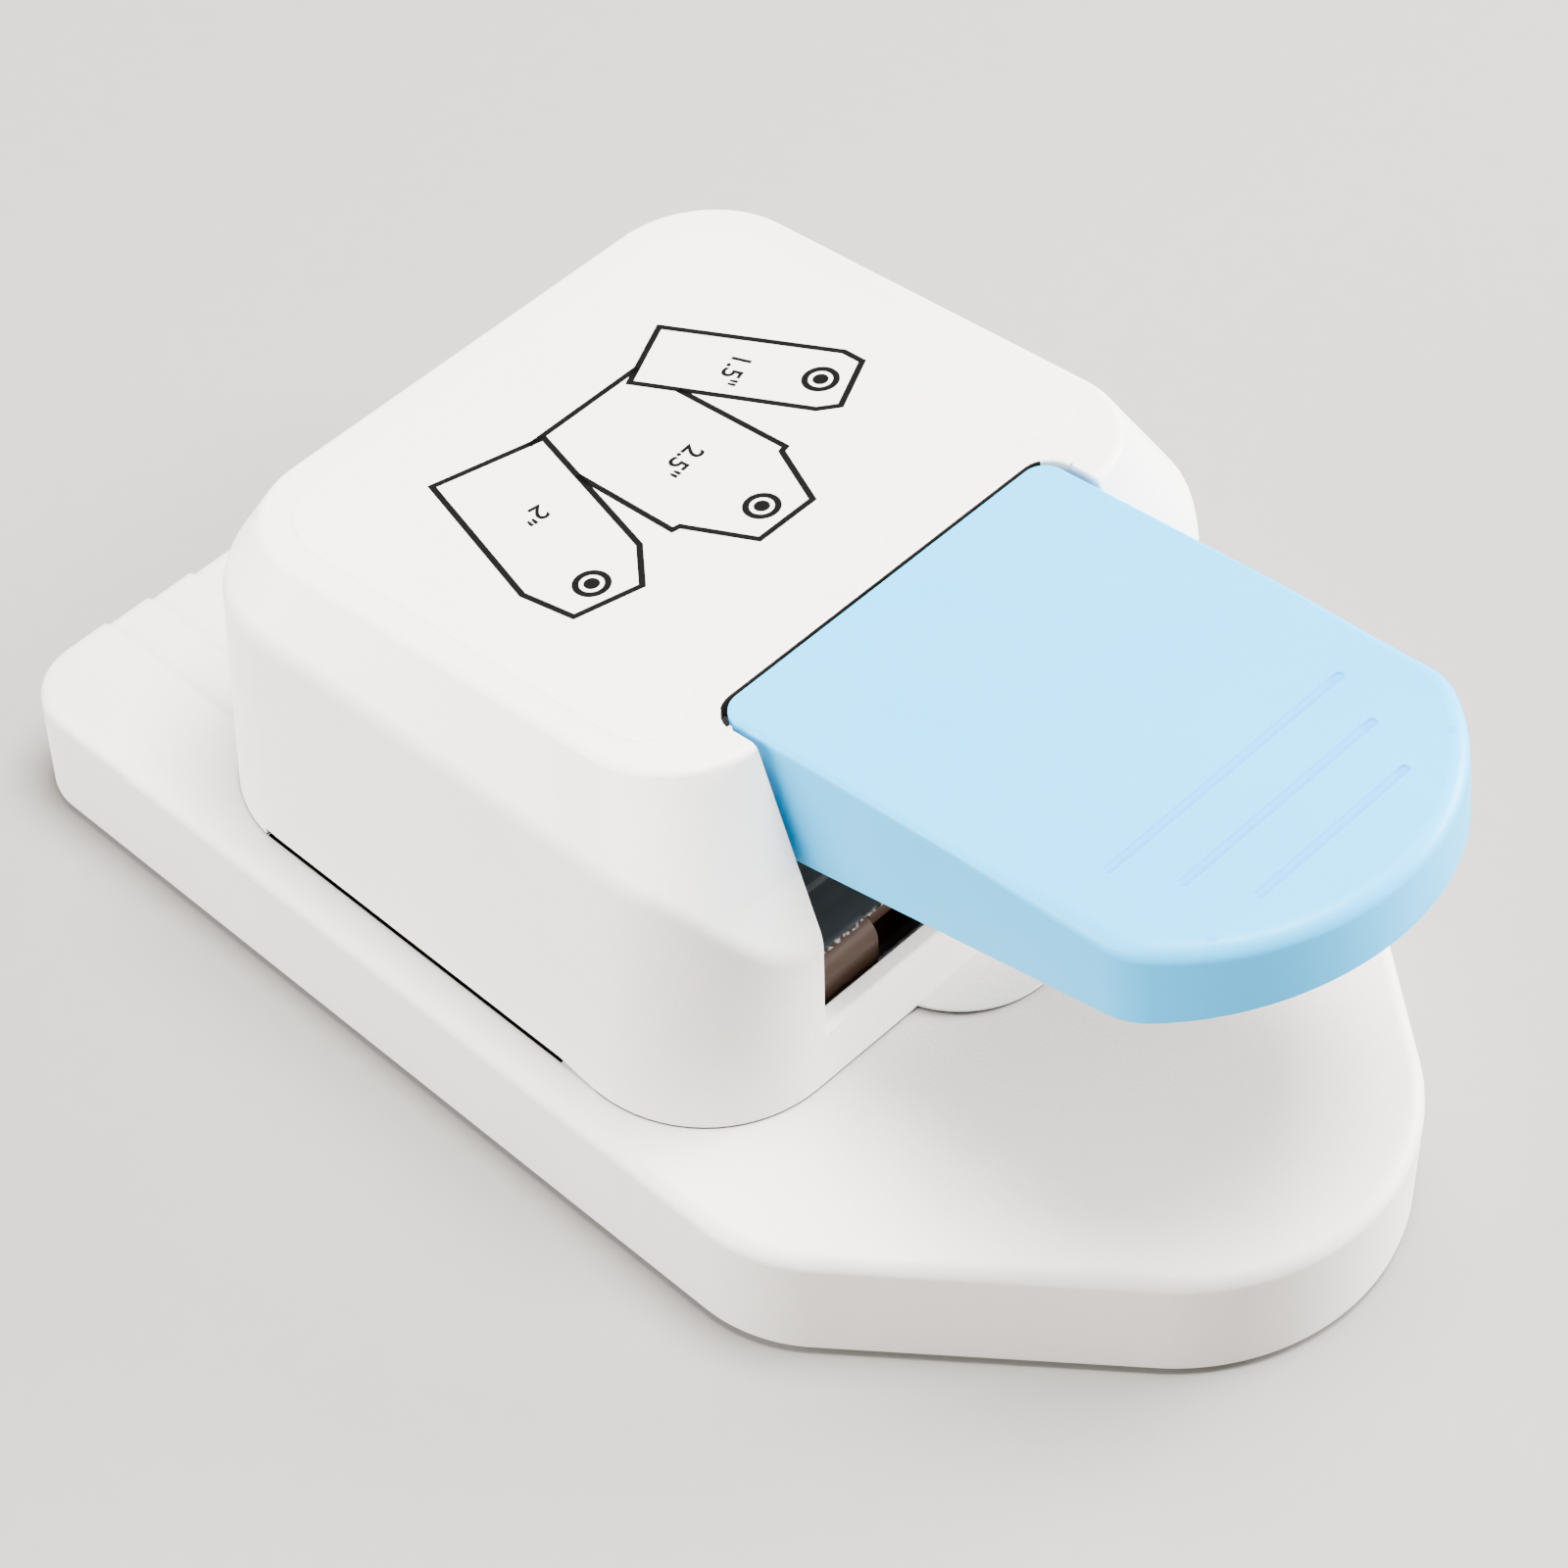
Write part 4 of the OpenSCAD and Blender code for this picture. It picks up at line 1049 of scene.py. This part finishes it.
def makeRivetTree():
    # domed head seated at zero over its shank
    tree, given, groupOut = placingTree(
        "rivetHeads", ["Head Radius", "Head Height", "Shank Radius", "Shank Length"])
    ball = wired(tree, "GeometryNodeMeshUVSphere", Segments=32, Rings=14, Radius=1.0)
    place = pointPlace(tree)
    x = mathNode(tree, "MULTIPLY", place["X"], given["Head Radius"])
    y = mathNode(tree, "MULTIPLY", place["Y"], given["Head Radius"])
    z = mathNode(tree, "MULTIPLY", mathNode(tree, "MAXIMUM", place["Z"]), given["Head Height"])
    dome = wired(tree, "GeometryNodeSetPosition", Geometry=ball.outputs[0], Position=vectorOf(tree, x, y, z))
    return endTree(tree, given, groupOut, onShank(tree, given, dome.outputs[0]))


def makeSpringTree():
    # helix with closed ends, swept with a round wire
    tree, given, groupOut = placingTree("coilSprings", [
        "Coil Radius", "Wire Radius", "Height", "Turns", "Closed Turns"])
    line = tree.nodes.new("GeometryNodeCurvePrimitiveLine")
    points = wired(tree, "GeometryNodeResampleCurve", Curve=line.outputs[0], Count=200)
    along = tree.nodes.new("GeometryNodeSplineParameter").outputs["Factor"]
    angle = mathNode(tree, "MULTIPLY", mathNode(tree, "MULTIPLY", along, given["Turns"]), 2 * math.pi)
    x = mathNode(tree, "MULTIPLY", mathNode(tree, "COSINE", angle), given["Coil Radius"])
    y = mathNode(tree, "MULTIPLY", mathNode(tree, "SINE", angle), given["Coil Radius"])
    closed = mathNode(tree, "DIVIDE", given["Closed Turns"], given["Turns"])
    climb = wired(tree, "ShaderNodeMapRange", Value=along, From_Min=closed,
                  From_Max=mathNode(tree, "SUBTRACT", 1.0, closed), To_Min=given["Wire Radius"],
                  To_Max=mathNode(tree, "SUBTRACT", given["Height"], given["Wire Radius"])).outputs[0]
    helix = wired(tree, "GeometryNodeSetPosition", Geometry=points.outputs[0],
                  Position=vectorOf(tree, x, y, climb))
    section = wired(tree, "GeometryNodeCurvePrimitiveCircle", Resolution=10, Radius=given["Wire Radius"])
    wire = wired(tree, "GeometryNodeCurveToMesh", Curve=helix.outputs[0], Profile_Curve=section.outputs[0],
                 Fill_Caps=True)
    return endTree(tree, given, groupOut, wire.outputs[0])


def runTree(name, tree, data, finish):
    # places as loose points, the tree's inputs by identifier, then a plain mesh
    mesh = bpy.data.meshes.new(name)
    mesh.from_pydata([(x * mm, y * mm, data["seat"] * mm) for x, y in data["spots"]], [], [])
    piece = addObject(name, mesh)
    mod = piece.modifiers.new("placing", "NODES")
    mod.node_group = tree
    values = {"Finish": finish, "Turn": (math.pi if data.get("down") else 0.0, 0.0, 0.0),
              "Cross": data.get("Cross", False)}
    for item in tree.interface.items_tree:
        if item.in_out != "INPUT" or item.name == "Places":
            continue
        if item.name not in values:
            values[item.name] = data[item.name] * (1.0 if "Turns" in item.name else mm)
        mod[item.identifier] = values[item.name]
    plainMesh(piece)
    return smoothHard(piece, 35)


screwTree, rivetTree, springTree = makeScrewTree(), makeRivetTree(), makeSpringTree()
for node, data in screws.items():
    piece = runTree(node + "Made", screwTree, data, zincPlate)
    if node == "lever_screws":
        placeOnTop(piece)
    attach(piece, data["body"])
    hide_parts(node)
rivetHeads = runTree("bracketRivets", rivetTree, rivets, zincPlate)
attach(rivetHeads, "base")
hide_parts("bracket_rivets")
coils = runTree("returnCoils", springTree, springs, springSteel)
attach(coils, "base")
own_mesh(coils)
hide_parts("return_springs")
print("screws, rivets and springs made")


# merging distance in metres, and the widest angle in degrees that still counts as flat
mergeWithin, flatWithin = 2e-6, 1


def eased(node, width, finish, angle=35):
    # a copy of a frame node with its hard edges rounded
    bm = bmesh.new()
    bm.from_mesh(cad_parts[node].data)
    bmesh.ops.remove_doubles(bm, verts=bm.verts, dist=mergeWithin)
    bmesh.ops.dissolve_limit(bm, angle_limit=math.radians(flatWithin), verts=bm.verts, edges=bm.edges)
    mesh = bpy.data.meshes.new(node)
    bm.to_mesh(mesh)
    bm.free()
    piece = addObject(node + "Eased", mesh)
    mod = piece.modifiers.new("edges", "BEVEL")
    mod.limit_method = "ANGLE"
    mod.angle_limit = math.radians(angle)
    mod.width = width * mm
    mod.segments = 3
    plainMesh(piece)
    setMaterial(piece, finish)
    return smoothHard(piece, angle)


# frame nodes whose edges are eased: edge radius, finish, body, slot
easedNodes = {
    "chip_cover": (0.3, basePlastic, "chip_door", "base_plastic"),
    "rubber_feet": (0.4, rubber, "base", "rubber"),
    "press_plate": (0.15, pressSteel, "punch", "steel"),
    "lever_arm": (0.15, steel, "lever", "steel"),
    "pivot_bracket": (0.15, steel, "base", "steel"),
    "press_shoe": (0.3, nylon, "lever", "nylon")}
for node, (width, finish, body, slotName) in easedNodes.items():
    piece = eased(node, width, finish)
    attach(piece, body)
    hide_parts(node)
print("edges eased on", len(easedNodes), "nodes")

nodeFinish = {
    "die_plate": toolSteel, "spacer_washers": zincPlate, "frame_plate": depthShadeSteel, "punch_guide": depthShadeSteel,
    "guide_posts": toolSteel, "pivot_pin": toolSteel, "pivot_clips": springSteel, "shoe_pin": toolSteel,
    "corner_cutter_left": toolSteel, "corner_cutter_right": toolSteel, "hole_cutter": toolSteel,
    "post_bushes": nylon, "chip_hinge_pin": zincPlate}
for node, material in nodeFinish.items():
    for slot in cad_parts[node].material_slots:
        slot.material = material
print("node finishes set")


camera = {"place": (-247.6, -240.04, 416.26), "target": (-7.1, -3.4, 30.0), "roll": -0.906, "lens": 110.87}
view = bpy.data.objects.new("camera", bpy.data.cameras.new("camera"))
scene.collection.objects.link(view)
view.location = Vector(camera["place"]) * mm
aim = (Vector(camera["target"]) - Vector(camera["place"])).to_track_quat("-Z", "Y")
view.rotation_euler = (aim.to_matrix() @ Matrix.Rotation(math.radians(camera["roll"]), 3, "Z")).to_euler()
view.data.lens = camera["lens"]
view.data.sensor_width = 36
scene.camera = view


def softLight(name, place, aimHeight, size, power, tint):
    lamp = bpy.data.lights.new(name, "AREA")
    lamp.shape = "RECTANGLE"
    lamp.size, lamp.size_y = size
    lamp.energy = power
    lamp.color = tint
    holder = bpy.data.objects.new(name, lamp)
    scene.collection.objects.link(holder)
    holder.location = place
    holder.rotation_euler = (Vector((0, 0, aimHeight)) - Vector(place)).to_track_quat("-Z", "Y").to_euler()


# place, height aimed at over the middle, size, watts and tint of each light
lights = {
    "topBox": ((0.1, -0.12, 1.0), 0.03, (0.5, 0.45), 56, (1.0, 0.985, 0.965)),
    "leftBox": ((-0.82, 0.55, 0.32), 0.04, (0.7, 0.5), 30, (1.0, 0.985, 0.97)),
    "rightBox": ((0.9, -0.42, 0.27), 0.04, (0.6, 0.3), 58, (1, 1, 1))}
for name, values in lights.items():
    softLight(name, *values)

world = bpy.data.worlds.new("studio")
scene.world = world
world.use_nodes = True
sky = {"Color": (1.0, 0.92, 0.84, 1), "Strength": 0.28}
for socketName, value in sky.items():
    world.node_tree.nodes["Background"].inputs[socketName].default_value = value

floorMaterial, floorTree, floorShader, floorCoords = newMaterial("floorPaper", Specular_IOR_Level=0.2)
paper = noiseNode(floorTree, floorCoords, 300.0, 3.0)
floorTree.links.new(mixColour(floorTree, paper, (0.28, 0.268, 0.255, 1), (0.30, 0.287, 0.273, 1)),
                    floorShader.inputs["Base Color"])
floorTree.links.new(mapRange(floorTree, paper, 0.3, 0.7, 0.75, 0.85), floorShader.inputs["Roughness"])
floorHalf = 4000
floorCorners = [(x * floorHalf, y * floorHalf, 0) for x, y in ((-1, -1), (1, -1), (1, 1), (-1, 1))]
floor = fromLists("floor", floorCorners, [[0, 1, 2, 3]])
setMaterial(floor, floorMaterial)
print("camera, lights and floor made")
